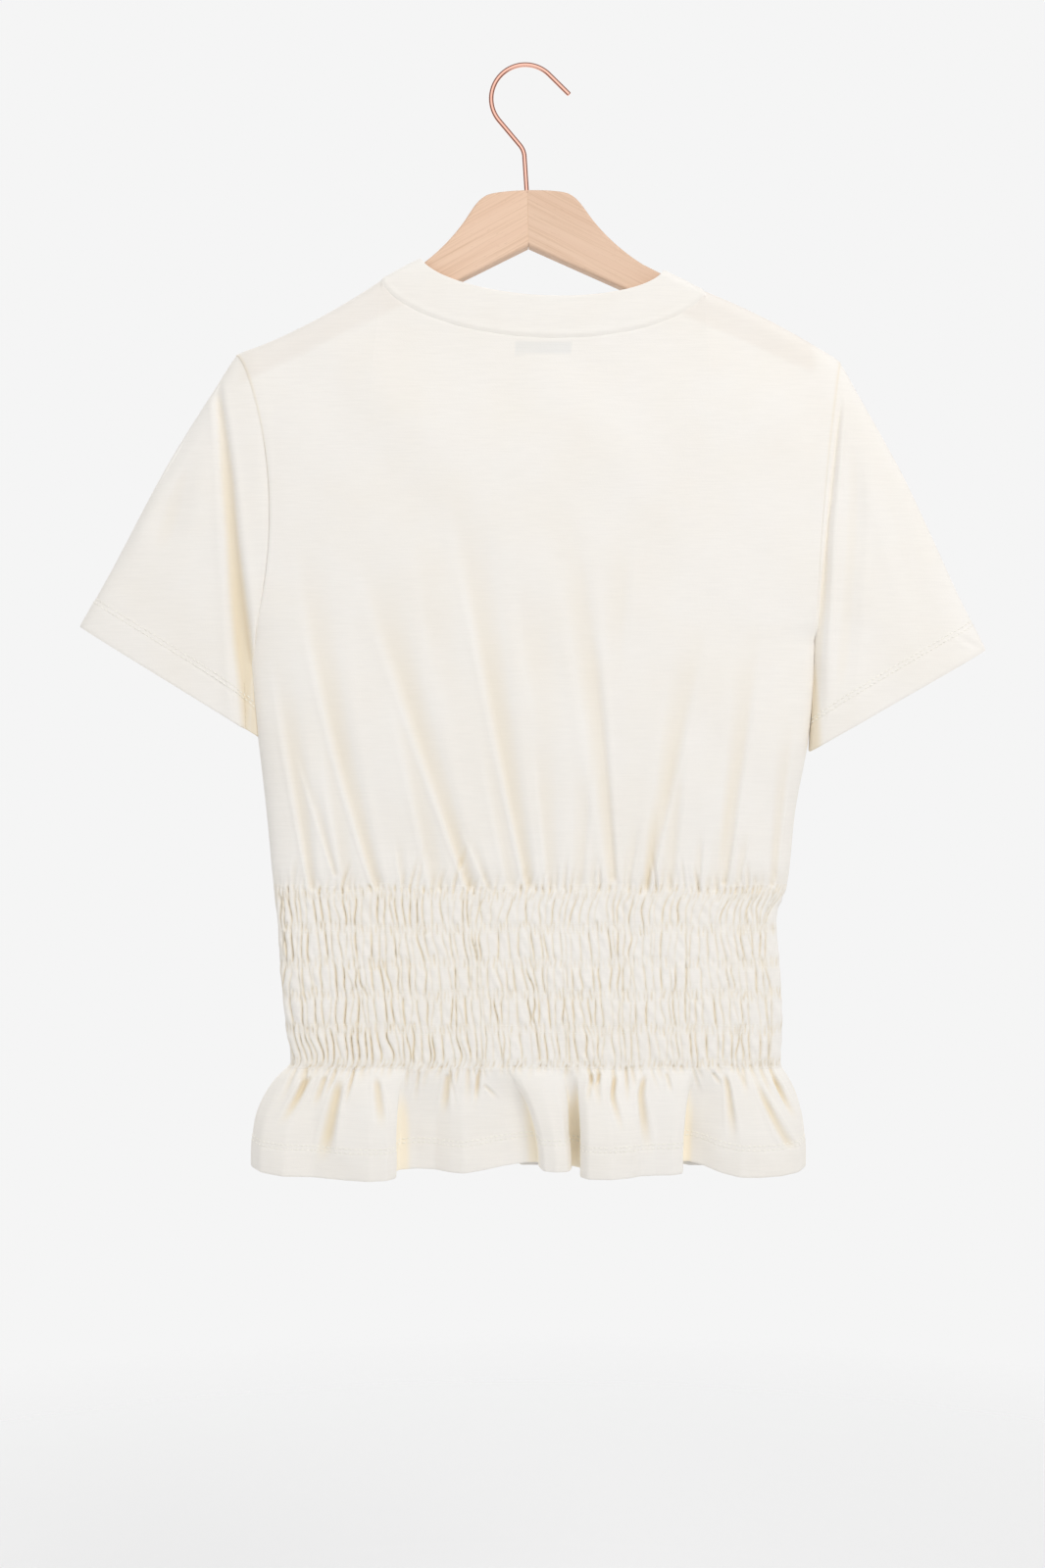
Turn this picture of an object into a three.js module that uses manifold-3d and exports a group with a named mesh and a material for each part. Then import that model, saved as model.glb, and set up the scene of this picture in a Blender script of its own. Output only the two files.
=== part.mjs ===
// A smocked t-shirt on a wooden hanger.
// Millimetres. The origin is the inside top of the hanger's hook, where it hangs. +Z is up, +X runs
// across the shoulders, and the garment's back faces -Y, its front +Y.
import * as THREE from "three";
import { mergeVertices } from "three/addons/utils/BufferGeometryUtils.js";
import Module from "manifold-3d";

const wasm = await Module();
wasm.setup();

// ---------- driving dimensions ----------

const CLOTH = 1.2; // jersey wall
const RIB = 2.0; // neckband, folded double
const LABEL = { thick: 1.0, width: 38, height: 9, middleX: 12.2, topZ: -186.5 }; // woven label
const SEAM = 0.3; // gap between two pieces where a seam joins them
// How far a sleeve's and the neckband's edge stand off the seam's line, to leave that gap where the
// walls turn.
const EDGE_SET_BACK = { sleeve: 0.62, neckbandBack: 0.5, neckbandFront: 0.95 };

const SHOULDER_MIDDLE = 12; // X of the neck's middle
const SHOULDER_SLOPE = 0.5;

const BACK = -1;
const FRONT = 1;

// Shoulder points, and how far the line from there to the neck sags under a straight one.
const SHOULDERS = {
  left: { x: -194.4, z: -194.4, sag: 4.0 },
  right: { x: 212.2, z: -199.3, sag: -3.0 },
};

// Where the neck seam and the neckband's free edge cross the shoulders.
const NECK_ENDS = {
  seam: { left: { x: -96, z: -144.2 }, right: { x: 119.8, z: -151.5 } },
  edge: { left: { x: -69.6, z: -129.8 }, right: { x: 92.7, z: -137.8 } },
};

// How far the neck seam and the neckband's free edge drop under their shoulder points.
const NECK_DROPS = {
  back: { seam: 36, edge: 22 },
  front: { seam: 95, edge: 81 },
};
const NECK_CURVE = 1.15; // 1 is a half ellipse, above it the curve is more pointed
const NECK_ROLL = 4.5; // drop over which the neckband turns over the hanger
const SHOULDER_ROLL = 9; // and the panels turn over it
const SHOULDER_DEPTH = 9.5; // half the garment's depth over the hanger
const CHEST_REACH = 90; // drop over which it deepens to the chest

// Sections of the body from the underarm down: height, left and right edge, half depth.
const BODY_SECTIONS = [
  { name: "underarm", z: -386, left: -186.5, right: 195.5, depth: 15.0 },
  { name: "bust", z: -450, left: -179.2, right: 190.5, depth: 15.5 },
  { name: "ribs", z: -500, left: -173.5, right: 181.5, depth: 14.5 },
  { name: "smocking_top", z: -552, left: -168.5, right: 175.5, depth: 12.0 },
  { name: "smocking_upper", z: -569, left: -166.0, right: 168.5, depth: 11.0 },
  { name: "smocking_middle", z: -610, left: -163.6, right: 171.0, depth: 11.0 },
  { name: "smocking_lower", z: -650, left: -159.5, right: 172.0, depth: 11.0 },
  { name: "smocking_end", z: -670, left: -157.0, right: 171.5, depth: 11.0 },
  { name: "peplum_top", z: -682, left: -171.3, right: 176.0, depth: 13.5 },
  { name: "peplum", z: -703, left: -180.5, right: 183.2, depth: 17.0 },
  { name: "hem_stitch", z: -726, left: -183.8, right: 188.0, depth: 19.0 },
  { name: "hem", z: -747, left: -182.5, right: 187.2, depth: 19.5 },
];
const UNDERARM = BODY_SECTIONS[0];
const HEM = BODY_SECTIONS.at(-1);
const SIDE_FLATNESS = 11; // exponent of a section: flat across, round at the side folds

// Armhole seams: how far each bows towards the body between the shoulder point and the underarm.
const ARMHOLES = { left: { bow: 20 }, right: { bow: 4 } };
const ARMHOLE_BOW_CURVE = 0.6;
const ARMHOLE_REACH = 8; // the higher, the nearer to the armhole its bow is taken up
const ARMHOLE_DEPTH = 13;
const ARMHOLE_FLATNESS = 5;

// Sleeve hems: the outer fold's end, the underarm fold's end, half depth of the open cuff.
const CUFFS = {
  left: { outerX: -299, outerZ: -377.2, innerX: -181.5, innerZ: -450.5, depth: 13 },
  right: { outerX: 309.5, outerZ: -393.0, innerX: 192.5, innerZ: -460.8, depth: 13 },
};
// The sleeve head stands this far proud of a straight fold, over this share of the armhole.
const SLEEVE_CAP = { height: 4, reach: 0.3 };
// Where sleeve and body lie back to back the sleeve starts this much further out, eased in from one
// share of the armhole to another.
const SLEEVE_CLEAR = { gap: 2.8, from: 0.6, to: 0.85 };

// Gathers: each row is a trough from its top to its bottom, pressed in by depth over width.
// bend over 1 keeps the trough upright at its top, under 1 at its bottom.
// All fade in over a share of their length, fade out over another and are wider at the top.
const GATHER_SHAPE = { fadeIn: 0.62, fadeOut: 0.11, topWidth: 1.7 };
const BACK_GATHERS = [
  { topX: -167, topZ: -386, endX: -142, endZ: -562, depth: 3.0, width: 6, bend: 1.0 },
  { topX: -149, topZ: -300, endX: -98, endZ: -562, depth: 4.0, width: 7, bend: 1.4 },
  { topX: -114, topZ: -308, endX: -38, endZ: -562, depth: 4.5, width: 8, bend: 1.0 },
  { topX: -50, topZ: -265, endX: 3, endZ: -562, depth: 4.5, width: 8, bend: 1.0 },
  { topX: 16, topZ: -278, endX: 60, endZ: -562, depth: 4.0, width: 8, bend: 0.6 },
  { topX: 122, topZ: -357, endX: 80, endZ: -562, depth: 3.5, width: 7, bend: 1.0 },
  { topX: 154, topZ: -364, endX: 129, endZ: -562, depth: 3.5, width: 7, bend: 0.8 },
  { topX: 177, topZ: -420, endX: 163, endZ: -562, depth: 3.0, width: 6, bend: 1.2 },
];
const FRONT_GATHERS = [
  { topX: -160, topZ: -360, endX: -137, endZ: -562, depth: 3.5, width: 7, bend: 1.0 },
  { topX: -128, topZ: -330, endX: -88, endZ: -562, depth: 4.5, width: 8, bend: 1.2 },
  { topX: -66, topZ: -345, endX: -34, endZ: -562, depth: 4.0, width: 8, bend: 0.9 },
  { topX: -8, topZ: -330, endX: 14, endZ: -562, depth: 4.5, width: 8, bend: 1.0 },
  { topX: 62, topZ: -350, endX: 62, endZ: -562, depth: 4.0, width: 8, bend: 1.0 },
  { topX: 120, topZ: -335, endX: 101, endZ: -562, depth: 4.5, width: 8, bend: 0.8 },
  { topX: 166, topZ: -380, endX: 146, endZ: -562, depth: 3.5, width: 7, bend: 1.0 },
];

// Flutes of the peplum: troughs between them, from the smocking to the hem.
const BACK_FLUTES = [
  { topX: -128, endX: -140, depth: 4, width: 8 },
  { topX: -80, endX: -86, depth: 8, width: 9 },
  { topX: -57, endX: -58, depth: 5, width: 7 },
  { topX: -8, endX: 9, depth: 8, width: 9 },
  { topX: 29, endX: 33, depth: 11, width: 9 },
  { topX: 80, endX: 82, depth: 4, width: 8 },
  { topX: 114, endX: 106, depth: 9, width: 9 },
  { topX: 135, endX: 141, depth: 6, width: 8 },
];
const FRONT_FLUTES = [
  { topX: -134, endX: -143, depth: 6, width: 9 },
  { topX: -96, endX: -101, depth: 9, width: 10 },
  { topX: -47, endX: -50, depth: 7, width: 9 },
  { topX: -4, endX: -1, depth: 10, width: 10 },
  { topX: 44, endX: 47, depth: 7, width: 9 },
  { topX: 88, endX: 92, depth: 10, width: 10 },
  { topX: 134, endX: 144, depth: 7, width: 9 },
];
const FLUTE_TOP = -664; // the flutes open below this height
// They reach full depth after a share of their length, and widen from top to hem.
const FLUTE_SHAPE = { open: 0.67, topWidth: 0.7, hemWidth: 1.1 };
const HEM_LIFT = 0.55; // a millimetre pressed in raises the hem by this much

// Sleeve drapes on the side that shows: a trough from the sleeve head to the cuff.
// along is the share of the way from the outer fold to the underarm fold.
const DRAPE_START = 0.33; // share of the sleeve's length over which they deepen
const SLEEVE_DRAPES = {
  left: [
    { along: 0.3, depth: 2.0, width: 0.07 },
    { along: 0.84, depth: 7.0, width: 0.07 },
  ],
  right: [
    { along: 0.45, depth: 2.0, width: 0.08 },
    { along: 0.88, depth: 4.0, width: 0.06 },
  ],
};

// Hanger: the points of half of its outline from the mitre out, its thickness and its lean.
const ARM_POINTS = {
  plateau: { x: 24, z: -85.7 },
  neck: { x: 43, z: -104.2 },
  arm: { x: 76, z: -135.2 },
  tip: { x: 192, z: -197.0 },
  under: { x: 190, z: -211.5 },
};
const HANGER = {
  centreX: 1.6,
  crownZ: -84.0,
  apexZ: -121.8,
  plateau: ARM_POINTS.plateau,
  // Each curve leaves its start by pull and reaches its end by back.
  curves: [
    { from: ARM_POINTS.plateau, pull: { x: 9, z: -1.5 }, back: { x: 5.5, z: -7.5 }, to: ARM_POINTS.neck },
    { from: ARM_POINTS.neck, pull: { x: 7, z: -9.5 }, back: { x: 15, z: -10 }, to: ARM_POINTS.arm },
    { from: ARM_POINTS.arm, pull: { x: 30, z: -16 }, back: { x: 30, z: -16 }, to: ARM_POINTS.tip },
    { from: ARM_POINTS.tip, pull: { x: 9, z: -5 }, back: { x: -11, z: 3.5 }, to: ARM_POINTS.under },
  ],
  thick: 12,
  edge: 2.2,
  lean: 1.2, // degrees, the left arm lower
};
const PAST_MITRE = 20; // an arm is drawn this far past the mitre, then cut off there
const MITRE_GAP = 0.3;

// Hook: wire, the ring's bend, the free end, the lower bend and the shank.
const HOOK = {
  wire: 3.2,
  ring: 22.9,
  ringX: 0.2,
  tip: { x: 30.0, z: -18.6 },
  ringSteps: 26,
  bend: { x: -0.6, z: -56.0 },
  easing: 3.5,
  shankX: 1.2,
  shankEndZ: -108,
};
const HOOK_RUN = 0.45; // clearance of the shank in the wood
const WIRE_SIDES = 12;
const WIRE_STEPS = 72;

// Grid of the CAD cloth.
const NECK_COLUMNS = 22;
const SHOULDER_COLUMNS = 9;
// Shares of the armhole seam from the shoulder point to the underarm. The panels' upper rows and the
// sleeves' columns both end there, so they share them.
const SEAM_STEPS = [0, 0.006, 0.02, 0.045, 0.1, 0.2, 0.34, 0.5, 0.66, 0.8, 0.9, 0.97, 1];
const LOWER_ROWS = {
  back: [-386, -425, -465, -505, -540, -560, -580, -620, -655, -670, -682, -700, -724, -747],
  front: [-386, -440, -490, -530, -556, -575, -620, -664, -675, -690, -715, -747],
};
const SLEEVE_COLUMNS = SEAM_STEPS.length - 1; // on each of its two sides
const SLEEVE_ROWS = [0, 0.04, 0.14, 0.3, 0.5, 0.75, 1];
// How far columns are drawn together at the side folds and where the neck turns over the hanger.
const COLUMN_SPREAD = { panel: 0.65, neck: 0.85 };

// ---------- small helpers ----------

const lerp = (a, b, t) => a + (b - a) * t;
// From 0 to 1 in equal steps, drawn closer together near both ends by a share of a cosine.
const spread = (t, share) => lerp(t, (1 - Math.cos(Math.PI * t)) / 2, share);
const clamp01 = (t) => Math.min(1, Math.max(0, t));
const smooth = (t) => clamp01(t) ** 2 * (3 - 2 * clamp01(t));
// A quarter circle: 0 at t = 0, 1 from t = 1 on.
const roll = (t) => Math.sqrt(1 - (1 - clamp01(t)) ** 2);
// 1 across the middle, 0 at the two ends of a fraction from 0 to 1.
const flat = (fraction, power) => Math.sqrt(Math.max(0, 1 - Math.abs(2 * fraction - 1) ** power));
const bell = (distance, width) => Math.exp(-((distance / width) ** 2));
const sideName = (side) => (side === BACK ? "back" : "front");

// The value of a column at a height, on a smooth curve through a table's rows.
function sectionAt(z, column) {
  const last = BODY_SECTIONS.length - 1;
  let i = BODY_SECTIONS.findIndex((row, k) => k > 0 && z >= row.z);
  if (i < 0) i = last;
  const [a, b] = [BODY_SECTIONS[i - 1], BODY_SECTIONS[i]];
  const slope = (k) => {
    const [p, q] = [BODY_SECTIONS[Math.max(k - 1, 0)], BODY_SECTIONS[Math.min(k + 1, last)]];
    return (q[column] - p[column]) / (q.z - p.z);
  };
  const span = b.z - a.z;
  const t = clamp01((z - a.z) / span);
  const [h1, h2, h3] = [t ** 3 - 2 * t ** 2 + t, 3 * t ** 2 - 2 * t ** 3, t ** 3 - t ** 2];
  return lerp(a[column], b[column], h2) + span * (h1 * slope(i - 1) + h3 * slope(i));
}

// ---------- outlines of the garment, in X and Z ----------

// The neck seam (rail "seam") or the neckband's free edge (rail "edge") at an angle from 0 to pi.
function neckRail(side, rail, angle) {
  const drop = NECK_DROPS[sideName(side)][rail] * Math.sin(angle) ** NECK_CURVE;
  const { left, right } = NECK_ENDS[rail];
  const across = (1 - Math.cos(angle)) / 2;
  return {
    x: lerp(left.x, right.x, across),
    y: side * SHOULDER_DEPTH * roll(drop / NECK_ROLL),
    z: lerp(left.z, right.z, across) - drop,
    rolled: roll(drop / NECK_ROLL),
  };
}

// The shoulder's ridge, t from 0 at the shoulder point to 1 at the neck.
function shoulderLine(name, t) {
  const [tip, neck] = [SHOULDERS[name], NECK_ENDS.seam[name]];
  const sag = tip.sag * 4 * t * (1 - t);
  return { x: lerp(tip.x, neck.x, t), z: lerp(tip.z, neck.z, t) - sag, rolled: 0 };
}

// The armhole seam, s from 0 at the shoulder point to 1 at the underarm.
function armhole(name, s) {
  const tip = SHOULDERS[name];
  const inward = name === "left" ? 1 : -1;
  const bow = ARMHOLES[name].bow * Math.sin(Math.PI * s) ** ARMHOLE_BOW_CURVE;
  return {
    x: lerp(tip.x, UNDERARM[name], s) + inward * bow,
    z: lerp(tip.z, UNDERARM.z, s),
    depth: ARMHOLE_DEPTH * flat(s, ARMHOLE_FLATNESS),
  };
}

// The angles of the neck's columns are closer where it turns over the hanger.
const neckAngle = (i) => Math.PI * spread(i / NECK_COLUMNS, COLUMN_SPREAD.neck);

// A panel's top edge as its columns: left shoulder, neck, right shoulder.
function topEdge(side) {
  const shoulder = (name) =>
    Array.from({ length: SHOULDER_COLUMNS }, (_, i) => shoulderLine(name, i / SHOULDER_COLUMNS));
  const neck = Array.from({ length: NECK_COLUMNS + 1 }, (_, i) => neckRail(side, "seam", neckAngle(i)));
  return [...shoulder("left"), ...neck, ...shoulder("right").reverse()];
}

// The direction out of the cloth at a seam: outwards where the two sides meet in a fold, turning to
// the back or front by the share of its roll.
function seamNormal(side, outwards, rolled) {
  const rise = Math.sqrt(Math.max(0, 1 - rolled ** 2));
  return new THREE.Vector3(outwards[0] * rise, side * rolled, outwards[1] * rise).normalize();
}
const upFrom = (x) => [Math.sign(x - SHOULDER_MIDDLE) * SHOULDER_SLOPE, 1];

// ---------- the cloth's surface ----------

// How far the gathers and flutes press the cloth in at a place on the body.
function pressedIn(side, x, z) {
  const gathers = side === BACK ? BACK_GATHERS : FRONT_GATHERS;
  const flutes = side === BACK ? BACK_FLUTES : FRONT_FLUTES;
  let depth = 0;
  for (const g of gathers) {
    const t = (z - g.topZ) / (g.endZ - g.topZ);
    if (t <= 0 || t >= 1) continue;
    const middle = lerp(g.topX, g.endX, t ** g.bend);
    const { fadeIn, fadeOut, topWidth } = GATHER_SHAPE;
    const fade = smooth(t / fadeIn) * smooth((1 - t) / fadeOut);
    depth += g.depth * fade * bell(x - middle, g.width * lerp(topWidth, 1, t));
  }
  const down = clamp01((z - FLUTE_TOP) / (HEM.z - FLUTE_TOP));
  for (const f of flutes) {
    const { open, topWidth, hemWidth } = FLUTE_SHAPE;
    const width = f.width * lerp(topWidth, hemWidth, down);
    depth += f.depth * smooth(down / open) * bell(x - lerp(f.topX, f.endX, down), width);
  }
  return depth;
}

// The grid of points of a panel: rows from the top edge to the hem, columns from left to right.
function panelPoints(side) {
  const top = topEdge(side);
  const last = top.length - 1;
  const across = top.map((_, j) => spread(j / last, COLUMN_SPREAD.panel));
  const [topLeft, topRight] = [top[0], top[last]];
  const rows = [];
  for (const v of SEAM_STEPS.slice(0, -1)) {
    const [left, right] = [armhole("left", v), armhole("right", v)];
    rows.push(
      top.map((edge, j) => {
        const f = across[j];
        const share = (edge.x - topLeft.x) / (topRight.x - topLeft.x);
        const x = lerp(edge.x, lerp(UNDERARM.left, UNDERARM.right, f), v)
          + (1 - share) ** ARMHOLE_REACH * (left.x - lerp(topLeft.x, UNDERARM.left, v))
          + share ** ARMHOLE_REACH * (right.x - lerp(topRight.x, UNDERARM.right, v));
        const z = lerp(edge.z, UNDERARM.z, v);
        const drop = edge.z - z;
        const full = lerp(SHOULDER_DEPTH, UNDERARM.depth, smooth(drop / CHEST_REACH));
        const inner = full * lerp(roll(drop / SHOULDER_ROLL), 1, edge.rolled);
        const seam = lerp(left.depth, right.depth, f);
        const depth = lerp(seam, inner, flat(f, SIDE_FLATNESS)) - pressedIn(side, x, z);
        return new THREE.Vector3(x, side * depth, z);
      }),
    );
  }
  for (const level of LOWER_ROWS[sideName(side)]) {
    const [left, right, half] = ["left", "right", "depth"].map((column) => sectionAt(level, column));
    rows.push(
      across.map((f) => {
        const x = lerp(left, right, f);
        const rounded = flat(f, SIDE_FLATNESS);
        const pressed = pressedIn(side, x, level) * rounded;
        const lift = HEM_LIFT * pressed * smooth((FLUTE_TOP - level) / (FLUTE_TOP - HEM.z));
        return new THREE.Vector3(x, side * (half * rounded - pressed), level + lift);
      }),
    );
  }
  return rows;
}

// A sleeve's column: down its back from the outer fold, then up its front.
function sleeveColumn(i) {
  const side = i < SLEEVE_COLUMNS ? BACK : FRONT;
  return { side, s: SEAM_STEPS[side === BACK ? i : 2 * SLEEVE_COLUMNS - i] };
}

// The rings of a sleeve from the armhole to the cuff.
function sleeveRings(name) {
  const cuff = CUFFS[name];
  const outward = name === "left" ? -1 : 1;
  const clear = SLEEVE_CLEAR;
  const rings = SLEEVE_ROWS.map((t) => {
    const ring = [];
    for (let i = 0; i < 2 * SLEEVE_COLUMNS; i++) {
      const { side, s } = sleeveColumn(i);
      const seam = armhole(name, s);
      const startX = seam.x + outward * clear.gap * smooth((s - clear.from) / (clear.to - clear.from));
      const end = { x: lerp(cuff.outerX, cuff.innerX, s), z: lerp(cuff.outerZ, cuff.innerZ, s) };
      const nearFold = smooth(1 - s / SLEEVE_CAP.reach);
      const cap = SLEEVE_CAP.height * Math.sin(Math.PI * t) ** 2 * (1 - t) * nearFold;
      let depth = lerp(seam.depth, cuff.depth * flat(s, ARMHOLE_FLATNESS), t);
      const drapes = side === BACK ? SLEEVE_DRAPES[name] : [];
      for (const d of drapes) depth -= d.depth * smooth(t / DRAPE_START) * bell(s - d.along, d.width);
      const x = lerp(startX, end.x, t) + outward * cap;
      ring.push(new THREE.Vector3(x, side * Math.max(depth, 0), lerp(seam.z, end.z, t) + cap));
    }
    return ring;
  });
  rings[0] = setBack(rings[0], rings[1], () => EDGE_SET_BACK.sleeve);
  return rings;
}

// The neckband as two closed rails, seam side and free edge, the back half from left to right first.
function neckbandRings() {
  const ring = (rail) => {
    const points = [];
    for (const side of [BACK, FRONT])
      for (let i = 0; i < NECK_COLUMNS; i++) {
        const p = neckRail(side, rail, neckAngle(side === BACK ? i : NECK_COLUMNS - i));
        points.push(new THREE.Vector3(p.x, p.y, p.z));
      }
    return points;
  };
  const [seam, edge] = [ring("seam"), ring("edge")];
  const { neckbandBack, neckbandFront } = EDGE_SET_BACK;
  return [setBack(seam, edge, (i) => (i < NECK_COLUMNS ? neckbandBack : neckbandFront)), edge];
}

// A closed ring moved square off its own line towards the next ring, by a distance for each point.
function setBack(ring, next, distance) {
  const count = ring.length;
  return ring.map((p, i) => {
    const along = ring[(i + 1) % count].clone().sub(ring[(i + count - 1) % count]).normalize();
    const away = next[i].clone().sub(p);
    away.addScaledVector(along, -away.dot(along)).normalize();
    return p.clone().addScaledVector(away, distance(i));
  });
}

// ---------- solids ----------

const materials = {
  jersey: new THREE.MeshStandardMaterial({ color: 0xf6f0e4, roughness: 0.9, metalness: 0 }),
  label: new THREE.MeshStandardMaterial({ color: 0xd9d6d0, roughness: 0.7, metalness: 0 }),
  wood: new THREE.MeshStandardMaterial({ color: 0xe6c8aa, roughness: 0.6, metalness: 0 }),
  wire: new THREE.MeshStandardMaterial({ color: 0xc98a78, roughness: 0.25, metalness: 1 }),
};

// The direction across the cloth at every point of a grid, from its neighbours.
function normalsOf(rows, closed) {
  const height = rows.length;
  const width = rows[0].length;
  const at = (r, c) => rows[Math.min(Math.max(r, 0), height - 1)][
    closed ? (c + width) % width : Math.min(Math.max(c, 0), width - 1)];
  return rows.map((row, r) =>
    row.map((_, c) => {
      const along = at(r, c + 1).clone().sub(at(r, c - 1));
      const down = at(r + 1, c).clone().sub(at(r - 1, c));
      return along.cross(down).normalize();
    }),
  );
}

// A wall of cloth about a grid of points; closed when each row is a ring. across, if given, states
// the direction across the cloth at a seam, so that the two pieces end in parallel faces there, and
// shape moves each vertex of the wall once it is placed.
function wall(rows, thick, { closed = false, across = () => undefined, shape = (p) => p } = {}) {
  const found = normalsOf(rows, closed);
  const given = rows.map((row, r) => row.map((_, c) => across(r, c)));
  const agree = given.flat().reduce((sum, n, i) => sum + (n ? n.dot(found.flat()[i]) : 0), 0);
  const sense = agree < 0 ? -1 : 1;
  const normals = found.map((row, r) => row.map((n, c) => given[r][c]?.multiplyScalar(sense) ?? n));
  const height = rows.length;
  const width = rows[0].length;
  const vertices = [];
  for (const sign of [1, -1])
    rows.forEach((row, r) =>
      row.forEach((p, c) => {
        vertices.push(shape(p.clone().addScaledVector(normals[r][c], (sign * thick) / 2)));
      }),
    );
  const index = (layer, r, c) => layer * height * width + r * width + (closed ? c % width : c);
  const faces = [];
  const quad = (a, b, c, d) => faces.push(a, b, c, a, c, d);
  const columns = closed ? width : width - 1;
  for (let r = 0; r < height - 1; r++)
    for (let c = 0; c < columns; c++) {
      quad(index(0, r, c), index(0, r, c + 1), index(0, r + 1, c + 1), index(0, r + 1, c));
      quad(index(1, r, c), index(1, r + 1, c), index(1, r + 1, c + 1), index(1, r, c + 1));
    }
  const end = height - 1;
  for (let c = 0; c < columns; c++) {
    quad(index(0, 0, c), index(1, 0, c), index(1, 0, c + 1), index(0, 0, c + 1));
    quad(index(0, end, c), index(0, end, c + 1), index(1, end, c + 1), index(1, end, c));
  }
  if (!closed)
    for (let r = 0; r < height - 1; r++) {
      quad(index(0, r, 0), index(0, r + 1, 0), index(1, r + 1, 0), index(1, r, 0));
      quad(index(0, r, columns), index(1, r, columns), index(1, r + 1, columns), index(0, r + 1, columns));
    }
  const geometry = new THREE.BufferGeometry().setFromPoints(vertices);
  geometry.setIndex(faces);
  return facingOut(geometry);
}

// Turns a closed geometry's faces outwards if they point in.
function facingOut(geometry) {
  const p = geometry.getAttribute("position");
  const f = geometry.index.array;
  const corner = (i) => new THREE.Vector3().fromBufferAttribute(p, f[i]);
  let volume = 0;
  for (let i = 0; i < f.length; i += 3) volume += corner(i).dot(corner(i + 1).cross(corner(i + 2)));
  if (volume < 0) for (let i = 0; i < f.length; i += 3) [f[i + 1], f[i + 2]] = [f[i + 2], f[i + 1]];
  geometry.computeVertexNormals();
  return geometry;
}

function meshOf(name, geometry, material) {
  const mesh = new THREE.Mesh(geometry, material);
  mesh.name = name;
  return mesh;
}

function toSolid(geometry) {
  const plain = geometry.clone();
  plain.deleteAttribute("normal");
  plain.deleteAttribute("uv");
  const merged = mergeVertices(plain, 1e-4);
  return new wasm.Manifold(
    new wasm.Mesh({
      numProp: 3,
      vertProperties: merged.getAttribute("position").array,
      triVerts: new Uint32Array(merged.index.array),
    }),
  );
}

function fromSolid(solid) {
  const { vertProperties, triVerts } = solid.getMesh();
  const geometry = new THREE.BufferGeometry();
  geometry.setAttribute("position", new THREE.BufferAttribute(vertProperties, 3));
  geometry.setIndex(new THREE.BufferAttribute(triVerts, 1));
  geometry.computeVertexNormals();
  return geometry;
}

function panel(side) {
  const edge = topEdge(side);
  const last = edge.length - 1;
  const upper = SEAM_STEPS.slice(0, -1);
  const across = (r, c) => {
    if (r === 0) return seamNormal(side, upFrom(edge[c].x), edge[c].rolled);
    if (c > 0 && c < last) return undefined;
    const outward = c === 0 ? -1 : 1;
    if (r >= upper.length) return seamNormal(side, [outward, 0], 0);
    const rolled = flat(upper[r], ARMHOLE_FLATNESS);
    return seamNormal(side, [outward, 1 - upper[r]], rolled);
  };
  // Each panel stays on its own side of the plane where the side and shoulder seams lie.
  const shape = (p) => p.setY(side * Math.max(side * p.y, SEAM / 2));
  const geometry = wall(panelPoints(side), CLOTH, { across, shape });
  return meshOf(sideName(side) + "_panel", geometry, materials.jersey);
}

function sleeve(name) {
  const outward = name === "left" ? -1 : 1;
  const across = (r, c) => {
    const { side, s } = sleeveColumn(c);
    if (r > 0 || s > 0.5) return undefined;
    return seamNormal(side, [outward, 1 - s], flat(s, ARMHOLE_FLATNESS));
  };
  const geometry = wall(sleeveRings(name), CLOTH, { closed: true, across });
  return meshOf("sleeve_" + name, geometry, materials.jersey);
}

function neckband() {
  const across = (r, c) => {
    const side = c < NECK_COLUMNS ? BACK : FRONT;
    const column = side === BACK ? c : 2 * NECK_COLUMNS - c;
    const p = neckRail(side, r === 0 ? "seam" : "edge", neckAngle(column));
    return seamNormal(side, upFrom(p.x), p.rolled);
  };
  return meshOf("neckband", wall(neckbandRings(), RIB, { closed: true, across }), materials.jersey);
}

// The label lies inside the back panel, under the neck seam.
function label() {
  const y = BACK * (SHOULDER_DEPTH - CLOTH / 2 - SEAM - LABEL.thick / 2);
  const rows = [0, -LABEL.height].map((down) =>
    [-0.5, -0.25, 0, 0.25, 0.5].map(
      (share) => new THREE.Vector3(LABEL.middleX + share * LABEL.width, y, LABEL.topZ + down),
    ),
  );
  return meshOf("neck_label", wall(rows, LABEL.thick), materials.label);
}

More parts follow.
